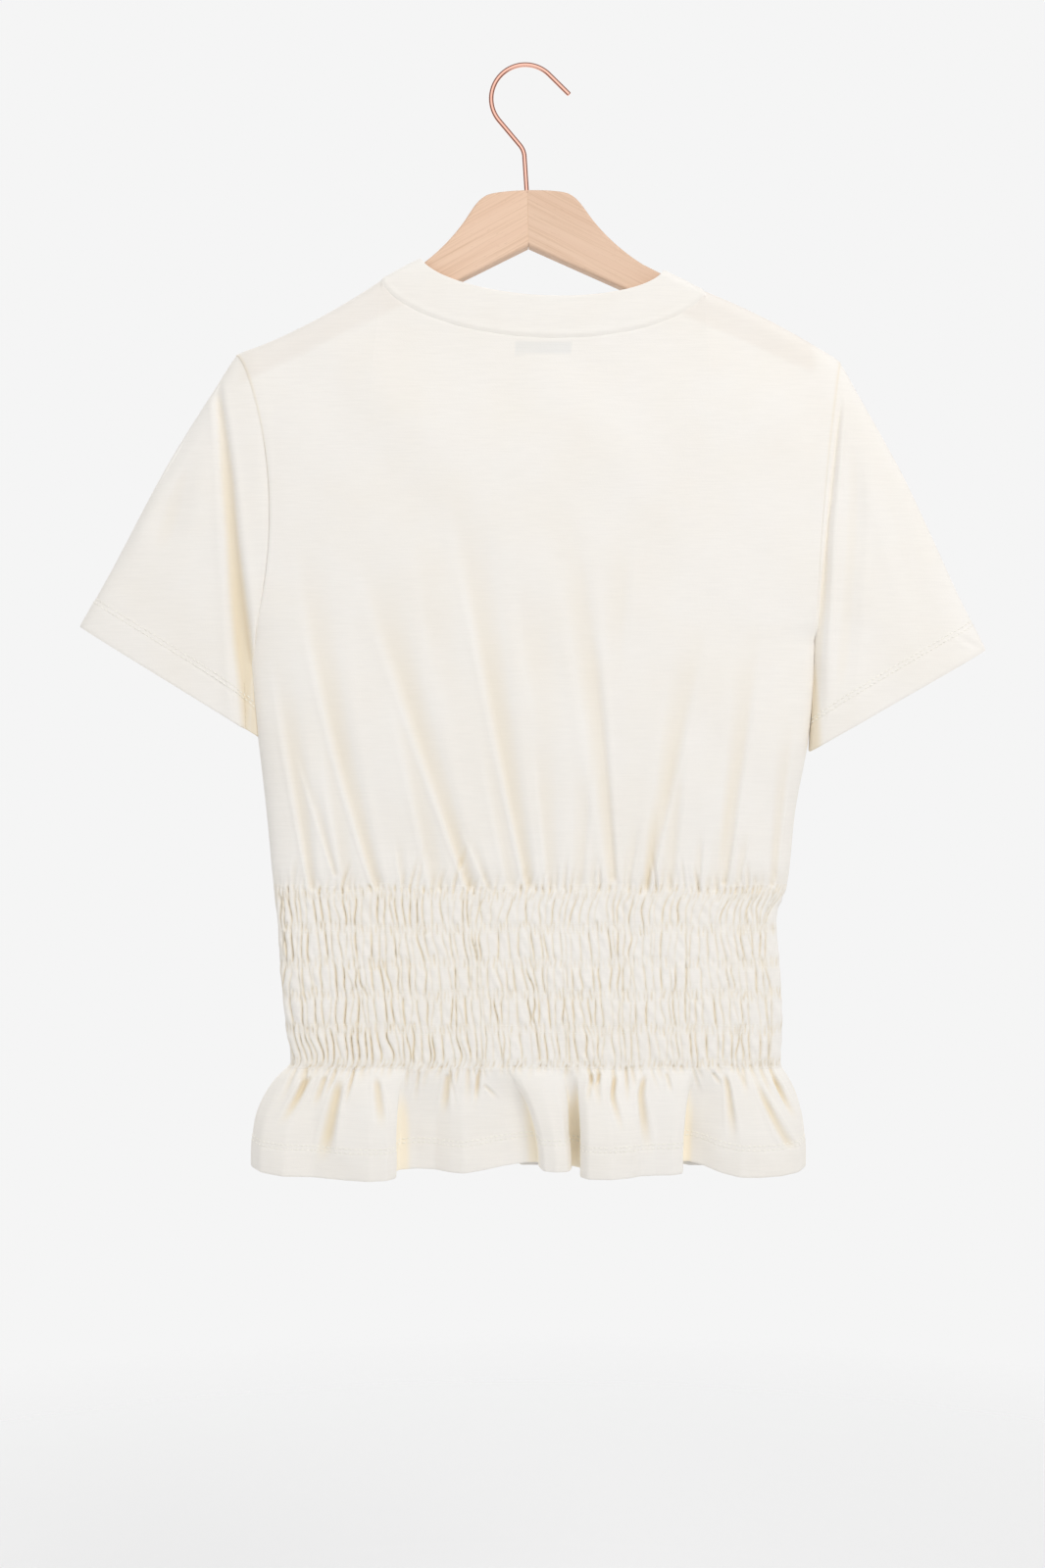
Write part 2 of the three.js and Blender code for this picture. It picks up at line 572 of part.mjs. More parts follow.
// One wooden arm: its outline from the mitre out, planed edges, cut at the mitre and for the hook.
function hangerArm(name, bore) {
  const h = HANGER;
  const outline = new THREE.Shape();
  outline.moveTo(-PAST_MITRE, h.apexZ);
  outline.lineTo(-PAST_MITRE, h.crownZ);
  outline.lineTo(0, h.crownZ);
  outline.quadraticCurveTo(h.plateau.x * 0.6, h.crownZ, h.plateau.x, h.plateau.z);
  for (const { from, pull, back, to } of h.curves)
    outline.bezierCurveTo(from.x + pull.x, from.z + pull.z, to.x - back.x, to.z - back.z, to.x, to.z);
  outline.lineTo(0, h.apexZ);
  const geometry = new THREE.ExtrudeGeometry(outline, {
    depth: h.thick - 2 * h.edge,
    bevelThickness: h.edge,
    bevelSize: h.edge,
    bevelOffset: -h.edge,
    bevelSegments: 3,
    curveSegments: 8,
  });
  geometry.translate(0, 0, -(h.thick - 2 * h.edge) / 2);
  geometry.rotateX(Math.PI / 2);
  let arm = toSolid(geometry);
  const beyond = new THREE.BoxGeometry(2 * PAST_MITRE, 2 * h.thick, 4 * (h.crownZ - h.apexZ));
  beyond.translate(-PAST_MITRE + MITRE_GAP / 2, 0, (h.crownZ + h.apexZ) / 2);
  arm = arm.subtract(toSolid(beyond));
  if (name === "left") arm = arm.mirror([1, 0, 0]);
  const lean = THREE.MathUtils.degToRad(h.lean);
  const place = new THREE.Matrix4()
    .makeTranslation(h.centreX, 0, h.crownZ)
    .multiply(new THREE.Matrix4().makeRotationY(-lean))
    .multiply(new THREE.Matrix4().makeTranslation(0, 0, -h.crownZ));
  arm = arm.transform(place.elements).subtract(bore);
  return meshOf("hanger_arm_" + name, fromSolid(arm), materials.wood);
}

// The line of the wire: free end, ring, lower bend, shank.
function hookLine() {
  const centre = { x: HOOK.ringX, z: HOOK.wire / 2 - HOOK.ring };
  // The angle, from +X, where a straight run to a point leaves the ring, before or after it.
  const leaves = (to, sign) => {
    const [dx, dz] = [to.x - centre.x, to.z - centre.z];
    return Math.atan2(dz, dx) + sign * Math.acos(HOOK.ring / Math.hypot(dx, dz));
  };
  const first = leaves(HOOK.tip, 1);
  const second = leaves(HOOK.bend, -1) + 2 * Math.PI;
  const at = (x, z) => new THREE.Vector3(x, 0, z);
  const [tip, bend] = [at(HOOK.tip.x, HOOK.tip.z), at(HOOK.bend.x, HOOK.bend.z)];
  const ring = Array.from({ length: HOOK.ringSteps + 1 }, (_, i) => {
    const angle = lerp(first, second, i / HOOK.ringSteps);
    return at(centre.x + HOOK.ring * Math.cos(angle), centre.z + HOOK.ring * Math.sin(angle));
  });
  const [top, foot] = [at(HOOK.shankX, HANGER.crownZ), at(HOOK.shankX, HOOK.shankEndZ)];
  // The lower bend starts and ends a little way from its corner.
  const eased = (to) => bend.clone().addScaledVector(to.clone().sub(bend).normalize(), HOOK.easing);
  return [tip, ...ring, eased(ring.at(-1)), eased(top), top, foot];
}

function roundWire(points, radius) {
  const circle = new THREE.Shape(
    Array.from({ length: WIRE_SIDES }, (_, i) => {
      const angle = (2 * Math.PI * i) / WIRE_SIDES;
      return new THREE.Vector2(radius * Math.cos(angle), radius * Math.sin(angle));
    }),
  );
  const extrudePath = new THREE.CatmullRomCurve3(points, false, "centripetal");
  return new THREE.ExtrudeGeometry(circle, { extrudePath, steps: WIRE_STEPS, curveSegments: 1 });
}

function hook() {
  const geometry = fromSolid(toSolid(roundWire(hookLine(), HOOK.wire / 2)));
  return meshOf("hanger_hook", geometry, materials.wire);
}

// The hole for the shank, from above the wood to just under the shank's foot.
function shankBore() {
  const [radius, bottom] = [HOOK.wire / 2 + HOOK_RUN, HOOK.shankEndZ - HOOK_RUN];
  const depth = HANGER.crownZ + HOOK.wire - bottom;
  const bore = new THREE.CylinderGeometry(radius, radius, depth, WIRE_SIDES);
  bore.rotateX(Math.PI / 2);
  bore.translate(HOOK.shankX, 0, bottom + depth / 2);
  return toSolid(bore);
}

// ---------- assembly ----------

const hanger = new THREE.Group();
const bore = shankBore();
hanger.add(hook(), hangerArm("left", bore), hangerArm("right", bore));

const shirt = new THREE.Group();
shirt.add(panel(BACK), panel(FRONT), sleeve("left"), sleeve("right"), neckband(), label());

const group = new THREE.Group();
group.add(hanger, shirt);
export default group;
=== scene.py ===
"""A smocked t-shirt hanging on a wooden hanger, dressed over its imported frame.

Sizes are in millimetres in the frame of the part, and become metres where a mesh is made. The
garment's back faces -Y and its front +Y; the origin is the inside top of the hanger's hook.
"""

import functools
import logging
import math
from dataclasses import dataclass, field
from enum import Enum

import bpy
import numpy as np
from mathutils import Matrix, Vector


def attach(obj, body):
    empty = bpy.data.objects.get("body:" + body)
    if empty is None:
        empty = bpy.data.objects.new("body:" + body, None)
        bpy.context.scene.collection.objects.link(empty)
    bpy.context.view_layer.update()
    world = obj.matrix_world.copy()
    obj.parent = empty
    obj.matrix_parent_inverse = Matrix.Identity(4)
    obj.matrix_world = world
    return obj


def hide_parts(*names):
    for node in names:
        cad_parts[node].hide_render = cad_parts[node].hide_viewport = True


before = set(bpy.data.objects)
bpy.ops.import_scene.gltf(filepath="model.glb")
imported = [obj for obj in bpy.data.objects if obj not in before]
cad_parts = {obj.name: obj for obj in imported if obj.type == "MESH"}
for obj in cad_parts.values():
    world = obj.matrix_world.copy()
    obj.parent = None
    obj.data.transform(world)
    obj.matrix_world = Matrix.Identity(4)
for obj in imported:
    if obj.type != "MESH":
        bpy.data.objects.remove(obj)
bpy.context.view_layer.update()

LOG = logging.getLogger("smocked_tshirt")
MM = 0.001

Array = np.ndarray
Point = tuple[float, float]
Vec = tuple[float, ...]
Socket = bpy.types.NodeSocket


class Side(Enum):
    """The two sides of the garment, as the sign of Y each faces."""

    BACK = -1
    FRONT = 1


class Hand(Enum):
    """The two hands of the garment as it is seen from behind, as the sign of X."""

    LEFT = -1
    RIGHT = 1


# ---------- small helpers ----------


def lerp(start: Array | float, end: Array | float, share: Array | float) -> Array | float:
    """Go from start to end by a share."""
    return start + (end - start) * share


def spread(share: Array, amount: float) -> Array:
    """Draw equal steps from 0 to 1 together near both ends by an amount."""
    return lerp(share, (1 - np.cos(np.pi * share)) / 2, amount)


def smooth(share: Array | float) -> Array | float:
    """Ease from 0 to 1."""
    held = np.clip(share, 0, 1)
    return held**2 * (3 - 2 * held)


def roll(share: Array | float) -> Array | float:
    """Follow a quarter circle, 0 at 0 and 1 from 1 on."""
    return np.sqrt(1 - (1 - np.clip(share, 0, 1)) ** 2)


def flat(share: Array, power: float) -> Array:
    """Stay at 1 across the middle and round down to 0 at both ends."""
    return np.sqrt(np.maximum(0, 1 - np.abs(2 * share - 1) ** power))


def bell(distance: Array, width: Array | float) -> Array:
    """Rise to 1 at distance 0 over a width."""
    return np.exp(-((distance / width) ** 2))


def unit(vectors: Array) -> Array:
    """Scale vectors to a length of 1."""
    return vectors / np.maximum(np.linalg.norm(vectors, axis=-1, keepdims=True), 1e-9)


def stacked(x: Array, y: Array, z: Array) -> Array:
    """Join three coordinate grids into one grid of points."""
    return np.stack(np.broadcast_arrays(x, y, z), axis=-1).astype(float)


def blurred(values: Array, width: float) -> Array:
    """Smooth a row of values and keep its two ends where they are.

    Args:
        values: The row, one value a step.
        width: Standard deviation of the blur, in steps.

    Returns:
        The smoothed row.
    """
    reach = int(math.ceil(3 * width))
    weights = bell(np.arange(-reach, reach + 1), width * math.sqrt(2))
    before = 2 * values[0] - values[reach:0:-1]
    after = 2 * values[-1] - values[-2 : -reach - 2 : -1]
    return np.convolve(np.concatenate([before, values, after]), weights / weights.sum(), "valid")


def placed(name: str, data: bpy.types.ID) -> bpy.types.Object:
    """Put a mesh, lamp or camera into the scene as an object."""
    made = bpy.data.objects.new(name, data)
    bpy.context.scene.collection.objects.link(made)
    return made


def meshed(name: str, points: list, faces: list, edges: list | None = None) -> bpy.types.Mesh:
    """Make a mesh from points in metres, faces and loose edges."""
    mesh = bpy.data.meshes.new(name)
    mesh.from_pydata(points, edges or [], faces)
    return mesh


@dataclass(frozen=True)
class Drift:
    """Slow unevenness over a surface: a sum of seeded waves between about -1 and 1.

    Attributes:
        seed: Fixes the waves.
        across: Shortest and longest wave across, in millimetres.
        down: Shortest and longest wave down.
        waves: How many waves are summed.
    """

    seed: int
    across: Point
    down: Point
    waves: int = 9

    def at(self, x: Array, z: Array | float) -> Array:
        """Return the unevenness at places on the surface."""
        rng = np.random.default_rng(self.seed)
        total = 0.0
        for _ in range(self.waves):
            kx = 2 * np.pi / rng.uniform(*self.across) * rng.choice((-1, 1))
            kz = 2 * np.pi / rng.uniform(*self.down)
            total = total + np.cos(kx * x + kz * z + rng.uniform(0, 2 * np.pi))
        return total / math.sqrt(self.waves)


# ---------- the form that the cloth hangs in ----------


@dataclass(frozen=True)
class Section:
    """A level of the body: its height, its two edges and half its depth."""

    z: float
    left: float
    right: float
    depth: float


@dataclass(frozen=True)
class Shoulder:
    """A shoulder of the garment.

    Attributes:
        x: X of its point.
        z: Z of its point.
        sag: How far the line from there to the neck sags.
        seam: X and Z of the neck seam's end.
        edge: X and Z of the end of the neckband's free edge.
        bow: How far the armhole bows towards the neck.
    """

    x: float
    z: float
    sag: float
    seam: Point
    edge: Point
    bow: float


@dataclass(frozen=True)
class Garment:
    """The outline and depth that all the cloth follows.

    Attributes:
        sections: Levels of the body from the underarm down.
        shoulders: The two shoulders.
        neck_drops: How far the neck seam and the free edge drop, for each side.
        neck_curve: Power of the neckline's curve; more makes it narrower.
        neck_roll: Drop over which the neck turns to its side.
        shoulder_roll: The same at the shoulder.
        shoulder_depth: Half the depth at the shoulders.
        chest_reach: How far down from them the depth grows to the underarm's.
        side_flatness: How flat the body is; more makes its sides sharper.
        armhole_curve: Power of the armhole's curve.
        armhole_reach: Power by which its bow dies out towards the middle.
        armhole_depth: Half its depth.
        armhole_flatness: How flat it is.
        column_spread: How much the columns close up towards the sides.
        neck_spread: The same for those round the neck.
        shoulder_share: Share of the columns over each shoulder.
    """

    sections: tuple[Section, ...] = (
        Section(-386, -186.5, 195.5, 15.0),
        Section(-450, -179.2, 190.5, 15.5),
        Section(-500, -173.5, 181.5, 14.5),
        Section(-552, -168.5, 175.5, 12.0),
        Section(-569, -166.0, 168.5, 11.0),
        Section(-610, -163.6, 171.0, 11.0),
        Section(-650, -159.5, 172.0, 11.0),
        Section(-670, -157.0, 171.5, 11.0),
        Section(-682, -171.3, 176.0, 13.5),
    )
    shoulders: dict = field(
        default_factory=lambda: {
            Hand.LEFT: Shoulder(-194.4, -194.4, 4.0, (-96, -144.2), (-69.6, -129.8), 20),
            Hand.RIGHT: Shoulder(212.2, -199.3, -3.0, (119.8, -151.5), (92.7, -137.8), 4),
        }
    )
    neck_drops: dict = field(
        default_factory=lambda: {Side.BACK: (36, 22), Side.FRONT: (95, 81)}
    )
    neck_curve: float = 1.15
    neck_roll: float = 4.5
    shoulder_roll: float = 9.0
    shoulder_depth: float = 9.5
    chest_reach: float = 90.0
    side_flatness: float = 11.0
    armhole_curve: float = 0.6
    armhole_reach: float = 8.0
    armhole_depth: float = 13.0
    armhole_flatness: float = 5.0
    column_spread: float = 0.65
    neck_spread: float = 0.85
    shoulder_share: float = 9 / 40

    @property
    def underarm(self) -> Section:
        """The level where body and sleeves part."""
        return self.sections[0]

    def section(self, z: Array) -> tuple[Array, Array, Array]:
        """Find the left edge, right edge and half depth of the body at heights.

        Args:
            z: Heights at or below the underarm.

        Returns:
            The three values at each height, on smooth curves through the levels.
        """
        levels = np.array([s.z for s in self.sections])
        span = np.searchsorted(-levels, -np.asarray(z, float), side="right") - 1
        i = np.clip(span, 0, len(levels) - 2)
        t = np.clip((z - levels[i]) / (levels[i + 1] - levels[i]), 0, 1)
        found = []
        for name in ("left", "right", "depth"):
            v = np.array([getattr(s, name) for s in self.sections])
            ahead = np.minimum(np.arange(len(v)) + 1, len(v) - 1)
            behind = np.maximum(np.arange(len(v)) - 1, 0)
            slope = (v[ahead] - v[behind]) / (levels[ahead] - levels[behind])
            run = levels[i + 1] - levels[i]
            curve = slope[i] * (t**3 - 2 * t**2 + t) + slope[i + 1] * (t**3 - t**2)
            found.append(lerp(v[i], v[i + 1], 3 * t**2 - 2 * t**3) + run * curve)
        return found[0], found[1], found[2]

    def neck_rail(self, side: Side, seam: bool, angle: Array) -> tuple[Array, Array, Array]:
        """Follow the neck seam or the neckband's free edge.

        Args:
            side: The side of the garment.
            seam: True for the seam, False for the free edge.
            angle: From 0 at the left shoulder to pi at the right.

        Returns:
            X, Z and how far the cloth has turned to its side, 0 to 1.
        """
        name = "seam" if seam else "edge"
        left = getattr(self.shoulders[Hand.LEFT], name)
        right = getattr(self.shoulders[Hand.RIGHT], name)
        drop = self.neck_drops[side][0 if seam else 1] * np.sin(angle) ** self.neck_curve
        across = (1 - np.cos(angle)) / 2
        x = lerp(left[0], right[0], across)
        return x, lerp(left[1], right[1], across) - drop, roll(drop / self.neck_roll)

    def top_edge(self, side: Side, q: Array) -> tuple[Array, Array, Array]:
        """Follow a panel's top edge: left shoulder, neck, right shoulder.

        Args:
            side: The panel's side.
            q: From 0 at the left shoulder point to 1 at the right.

        Returns:
            X, Z and how far the cloth has turned to its side, 0 to 1.
        """
        share = self.shoulder_share
        along = np.clip((q - share) / (1 - 2 * share), 0, 1)
        x, z, rolled = self.neck_rail(side, True, np.pi * spread(along, self.neck_spread))
        for hand, t in ((Hand.LEFT, q / share), (Hand.RIGHT, (1 - q) / share)):
            tip = self.shoulders[hand]
            t = np.minimum(t, 1)
            sagged = lerp(tip.z, tip.seam[1], t) - tip.sag * 4 * t * (1 - t)
            x = np.where(t < 1, lerp(tip.x, tip.seam[0], t), x)
            z = np.where(t < 1, sagged, z)
            rolled = np.where(t < 1, 0, rolled)
        return x, z, rolled

    def armhole(self, hand: Hand, s: Array) -> tuple[Array, Array, Array]:
        """Follow an armhole seam from the shoulder point to the underarm.

        Args:
            hand: The hand of the sleeve.
            s: From 0 at the shoulder point to 1 at the underarm.

        Returns:
            X, Z and half the depth of the armhole.
        """
        tip = self.shoulders[hand]
        foot = self.underarm.left if hand is Hand.LEFT else self.underarm.right
        bow = tip.bow * np.maximum(np.sin(np.pi * s), 0) ** self.armhole_curve
        x = lerp(tip.x, foot, s) - hand.value * bow
        depth = self.armhole_depth * flat(s, self.armhole_flatness)
        return x, lerp(tip.z, self.underarm.z, s), depth


GARMENT = Garment()
SHOULDER_MIDDLE = 12.0
SHOULDER_SLOPE = 0.5


def seam_normal(side: Side, out_x: Array, out_z: Array, rolled: Array) -> Array:
    """Find the way out of the cloth at a seam: out_x and out_z where the sides meet in a fold."""
    rise = np.sqrt(np.maximum(0, 1 - rolled**2))
    return unit(stacked(out_x * rise, side.value * rolled, out_z * rise))


# ---------- creases ----------


@dataclass(frozen=True)
class Crease:
    """A soft trough from its top to its end, with a low ridge on either side.

    Attributes:
        path: Its points from top to end, each with X and Z.
        depth: How deep it is at its top and end.
        width: How wide it is at its top and end.
        lip: Height of the ridges beside it, as a share of its depth.
        lean: Above 0 its left side is the steeper one, below 0 its right side.
        fade: Shares of its length over which it appears and goes.
        power: 2 for a soft trough, above it for one with a flat floor and steep sides.
    """

    path: tuple[Point, ...]
    depth: Point
    width: Point
    lip: float = 0.3
    lean: float = 0.0
    fade: Point = (0.5, 0.1)
    power: float = 2.0

    def relief(self, x: Array, z: Array) -> Array:
        """Return the relief it gives at places, below 0 where it presses in."""
        steps = 33
        points = np.array(self.path, float)
        levels = np.linspace(points[0, 1], points[-1, 1], steps)
        middle = np.interp(-levels, -points[:, 1], points[:, 0])
        if len(points) > 2:
            middle = blurred(middle, 2.0)
        slope = np.gradient(middle, levels)
        t = (z - levels[0]) / (levels[-1] - levels[0])
        inside = (t > 0) & (t < 1)
        at = np.interp(t * (steps - 1), np.arange(steps), middle)
        lean_down = np.interp(t * (steps - 1), np.arange(steps), slope)
        u = (x - at) / np.sqrt(1 + lean_down**2) / lerp(*self.width, t)
        u = u * (1 + self.lean * np.tanh(-3 * u))
        form = -np.exp(-np.abs(u) ** self.power) + self.lip * bell(np.abs(u) - 1.6, 0.6)
        held = smooth(t / self.fade[0]) * smooth((1 - t) / self.fade[1])
        return np.where(inside, form * lerp(*self.depth, t) * held, 0.0)


def creased(creases: tuple[Crease, ...], x: Array, z: Array) -> Array:
    """Sum the relief of several creases."""
    total = np.zeros(np.broadcast(x, z).shape)
    for crease in creases:
        total += crease.relief(x, z)
    return total


# ---------- cloth as a thin wall ----------


def grid_normals(points: Array, closed: bool, outward: Array) -> Array:
    """Find the direction out of a surface at each point of its grid.

    Args:
        points: Rows and columns of points.
        closed: Whether each row is a ring.
        outward: A rough direction outwards for each point.

    Returns:
        Unit vectors.
    """
    if closed:
        around = np.concatenate([points[:, -1:], points, points[:, :1]], axis=1)
        along = around[:, 2:] - around[:, :-2]
    else:
        along = np.gradient(points, axis=1)
    found = unit(np.cross(along, np.gradient(points, axis=0)))
    return found if np.sum(found * outward) >= 0 else -found


# What a point of the cloth carries for the painted light and shade of its finish: how deep in a fold it
# lies (painted shade), how far a flap of cloth shuts it in (painted warm light), and how much wood or label
# lies right behind it (painted show-through shade).
NOTES = ("fold", "shut", "wood_behind", "label_behind")


@dataclass
class Cloth:
    """A wall of cloth about a grid of points, fine outside and plainer inside.

    Attributes:
        middle: The undisturbed middle of the wall, rows and columns of points.
        normals: The direction out of the cloth at each point.
        relief: How far the cloth stands out of that middle.
        thickness: The wall's thickness at each point.
        closed: Whether each row is a ring.
        side: Keeps the wall on its own side of the middle plane, where given.
        inner: Rows and columns of the outside for one of the inside.
        notes: Masks for painted light and shade that each point carries for the finish, by name.
        keep: How far the wall stays off the middle plane.
    """

    middle: Array
    normals: Array
    relief: Array
    thickness: Array
    closed: bool = False
    side: Side | None = None
    inner: tuple[int, int] = (3, 4)
    notes: dict[str, Array] = field(default_factory=dict)
    keep: float = 0.05

    def outside(self) -> Array:
        """Return the grid of points of the outer face."""
        points = self.middle + self.normals * (self.relief + self.thickness / 2)[..., None]
        return self._held(points)

    def _held(self, points: Array) -> Array:
        """Keep points on their own side of the middle plane."""
        if self.side is not None:
            way = self.side.value
            points[..., 1] = way * np.maximum(way * points[..., 1], self.keep)
        return points

    def _lowest(self, rows: Array, columns: Array) -> Array:
        """Find the lowest relief near chosen places.

        Args:
            rows: The chosen rows.
            columns: The chosen columns.

        Returns:
            One value for each chosen row and column.
        """
        height, width = self.relief.shape
        best = self.relief[np.ix_(rows, columns)]
        far_r, far_c = self.inner
        for dr in range(-far_r, far_r + 1):
            r = np.clip(rows + dr, 0, height - 1)
            for dc in range(-far_c, far_c + 1):
                c = (columns + dc) % width if self.closed else np.clip(columns + dc, 0, width - 1)
                best = np.minimum(best, self.relief[np.ix_(r, c)])
        return best

    def _inside(self, rows: Array, columns: Array) -> Array:
        """Return the grid of points of the inner face."""
        pick = np.ix_(rows, columns)
        depth = self._lowest(rows, columns) - self.thickness[pick] / 2
        return self._held(self.middle[pick] + self.normals[pick] * depth[..., None])

    def build(self, name: str) -> bpy.types.Object:
        """Make the wall as a closed mesh with a UV map in metres along the cloth.

        Args:
            name: Name of the piece.

        Returns:
            The new object.
        """
        outer = self.outside()
        height, width = self.relief.shape
        rows = np.append(np.arange(0, height - 1, self.inner[0]), height - 1)
        if self.closed:
            columns = np.arange(0, width, self.inner[1])
        else:
            columns = np.append(np.arange(0, width - 1, self.inner[1]), width - 1)
        inner = self._inside(rows, columns)
        ids = np.arange(height * width).reshape(height, width)
        inner_ids = ids.size + np.arange(inner[..., 0].size).reshape(inner.shape[:2])
        if self.closed:
            ids = np.concatenate([ids, ids[:, :1]], axis=1)
            inner_ids = np.concatenate([inner_ids, inner_ids[:, :1]], axis=1)
            columns = np.append(columns, width)
        faces = self._quads(ids, False) + self._quads(inner_ids, True)
        walls = len(faces)
        faces += self._rim(ids[0], inner_ids[0], columns, False)
        faces += self._rim(ids[-1], inner_ids[-1], columns, True)
        if not self.closed:
            faces += self._rim(ids[:, 0], inner_ids[:, 0], rows, True)
            faces += self._rim(ids[:, -1], inner_ids[:, -1], rows, False)
        rims = len(faces) - walls
        points = np.concatenate([outer.reshape(-1, 3), inner.reshape(-1, 3)])
        if not self._faces_out(points, faces[: (height - 1) * (width - 1)]):
            faces = [face[::-1] for face in faces]
        mesh = meshed(name, (points * MM).tolist(), faces)
        mesh.polygons.foreach_set("use_smooth", [True] * len(mesh.polygons))
        self._crisp(mesh, rims)
        self._map(mesh, outer, rows, columns)
        mesh.validate()
        mesh.update()
        return placed(name, mesh)

    @staticmethod
    def _crisp(mesh: bpy.types.Mesh, rims: int) -> None:
        """Keep the edges of the rim faces, the last of the mesh, sharp."""
        sharp = mesh.attributes.new("sharp_edge", "BOOLEAN", "EDGE")
        marks = np.zeros(len(mesh.edges), bool)
        corners = np.empty(len(mesh.loops), int)
        mesh.loops.foreach_get("edge_index", corners)
        first = mesh.polygons[len(mesh.polygons) - rims].loop_start
        marks[corners[first:]] = True
        sharp.data.foreach_set("value", marks)

    def _map(self, mesh: bpy.types.Mesh, outer: Array, rows: Array, columns: Array) -> None:
        """Lay the UV map along the cloth and store the masks of painted light and shade its points carry."""
        across = np.linalg.norm(np.diff(outer, axis=1, prepend=outer[:, :1]), axis=-1).cumsum(axis=1)
        down = np.linalg.norm(np.diff(outer, axis=0, prepend=outer[:1]), axis=-1).cumsum(axis=0)
        pick = np.ix_(rows, columns[:-1] if self.closed else columns)
        flat_map = np.stack([across, down], axis=-1) * MM
        both = np.concatenate([flat_map.reshape(-1, 2), flat_map[pick].reshape(-1, 2)])
        corners = np.empty(len(mesh.loops), int)
        mesh.loops.foreach_get("vertex_index", corners)
        layer = mesh.uv_layers.new(name="cloth")
        layer.data.foreach_set("uv", both[corners].ravel())
        for name in NOTES:
            value = np.broadcast_to(self.notes.get(name, 0.0), self.relief.shape)
            noted = mesh.attributes.new(name, "FLOAT", "POINT")
            noted.data.foreach_set("value", np.concatenate([value.ravel(), value[pick].ravel()]))

    @staticmethod
    def _quads(ids: Array, flipped: bool) -> list[list[int]]:
        """Return the four-cornered faces of a grid."""
        corners = [ids[:-1, :-1], ids[:-1, 1:], ids[1:, 1:], ids[1:, :-1]]
        if flipped:
            corners.reverse()
        return np.stack(corners, axis=-1).reshape(-1, 4).tolist()

    @staticmethod
    def _rim(fine: Array, plain: Array, marks: Array, flipped: bool) -> list[list[int]]:
        """Return the faces that join the two faces of the wall along an edge."""
        faces = []
        for k, (a, b) in enumerate(zip(marks[:-1], marks[1:])):
            face = [int(plain[k]), int(plain[k + 1])] + [int(i) for i in fine[a : b + 1][::-1]]
            faces.append(face[::-1] if flipped else face)
        return faces

    def _faces_out(self, points: Array, faces: list[list[int]], sample: int = 4000) -> bool:
        """Tell whether the outer faces point along the normals, from a sample of them."""
        ids = np.array(faces[:: max(1, len(faces) // sample)])
        picked = points[ids]
        made = np.cross(picked[:, 2] - picked[:, 0], picked[:, 3] - picked[:, 1])
        return float(np.sum(made * self.normals.reshape(-1, 3)[ids[:, 0]])) >= 0


# ---------- the body ----------


def bent(row: tuple[float, ...]) -> Crease:
    """Lay a crease of the bodice from its row of the table."""
    top_x, top_z, end_x, end_z, bend, top_depth, end_depth, top_width, end_width, *going = row
    steps = np.linspace(0, 1, 7)
    path = tuple((lerp(top_x, end_x, t**bend), lerp(top_z, end_z, t)) for t in steps)
    fade = (0.5, going[0] if going else 0.02)
    lean = 0.35 if end_x < 25 else -0.35
    return Crease(path, (top_depth, end_depth), (top_width, end_width), lean=lean, fade=fade)


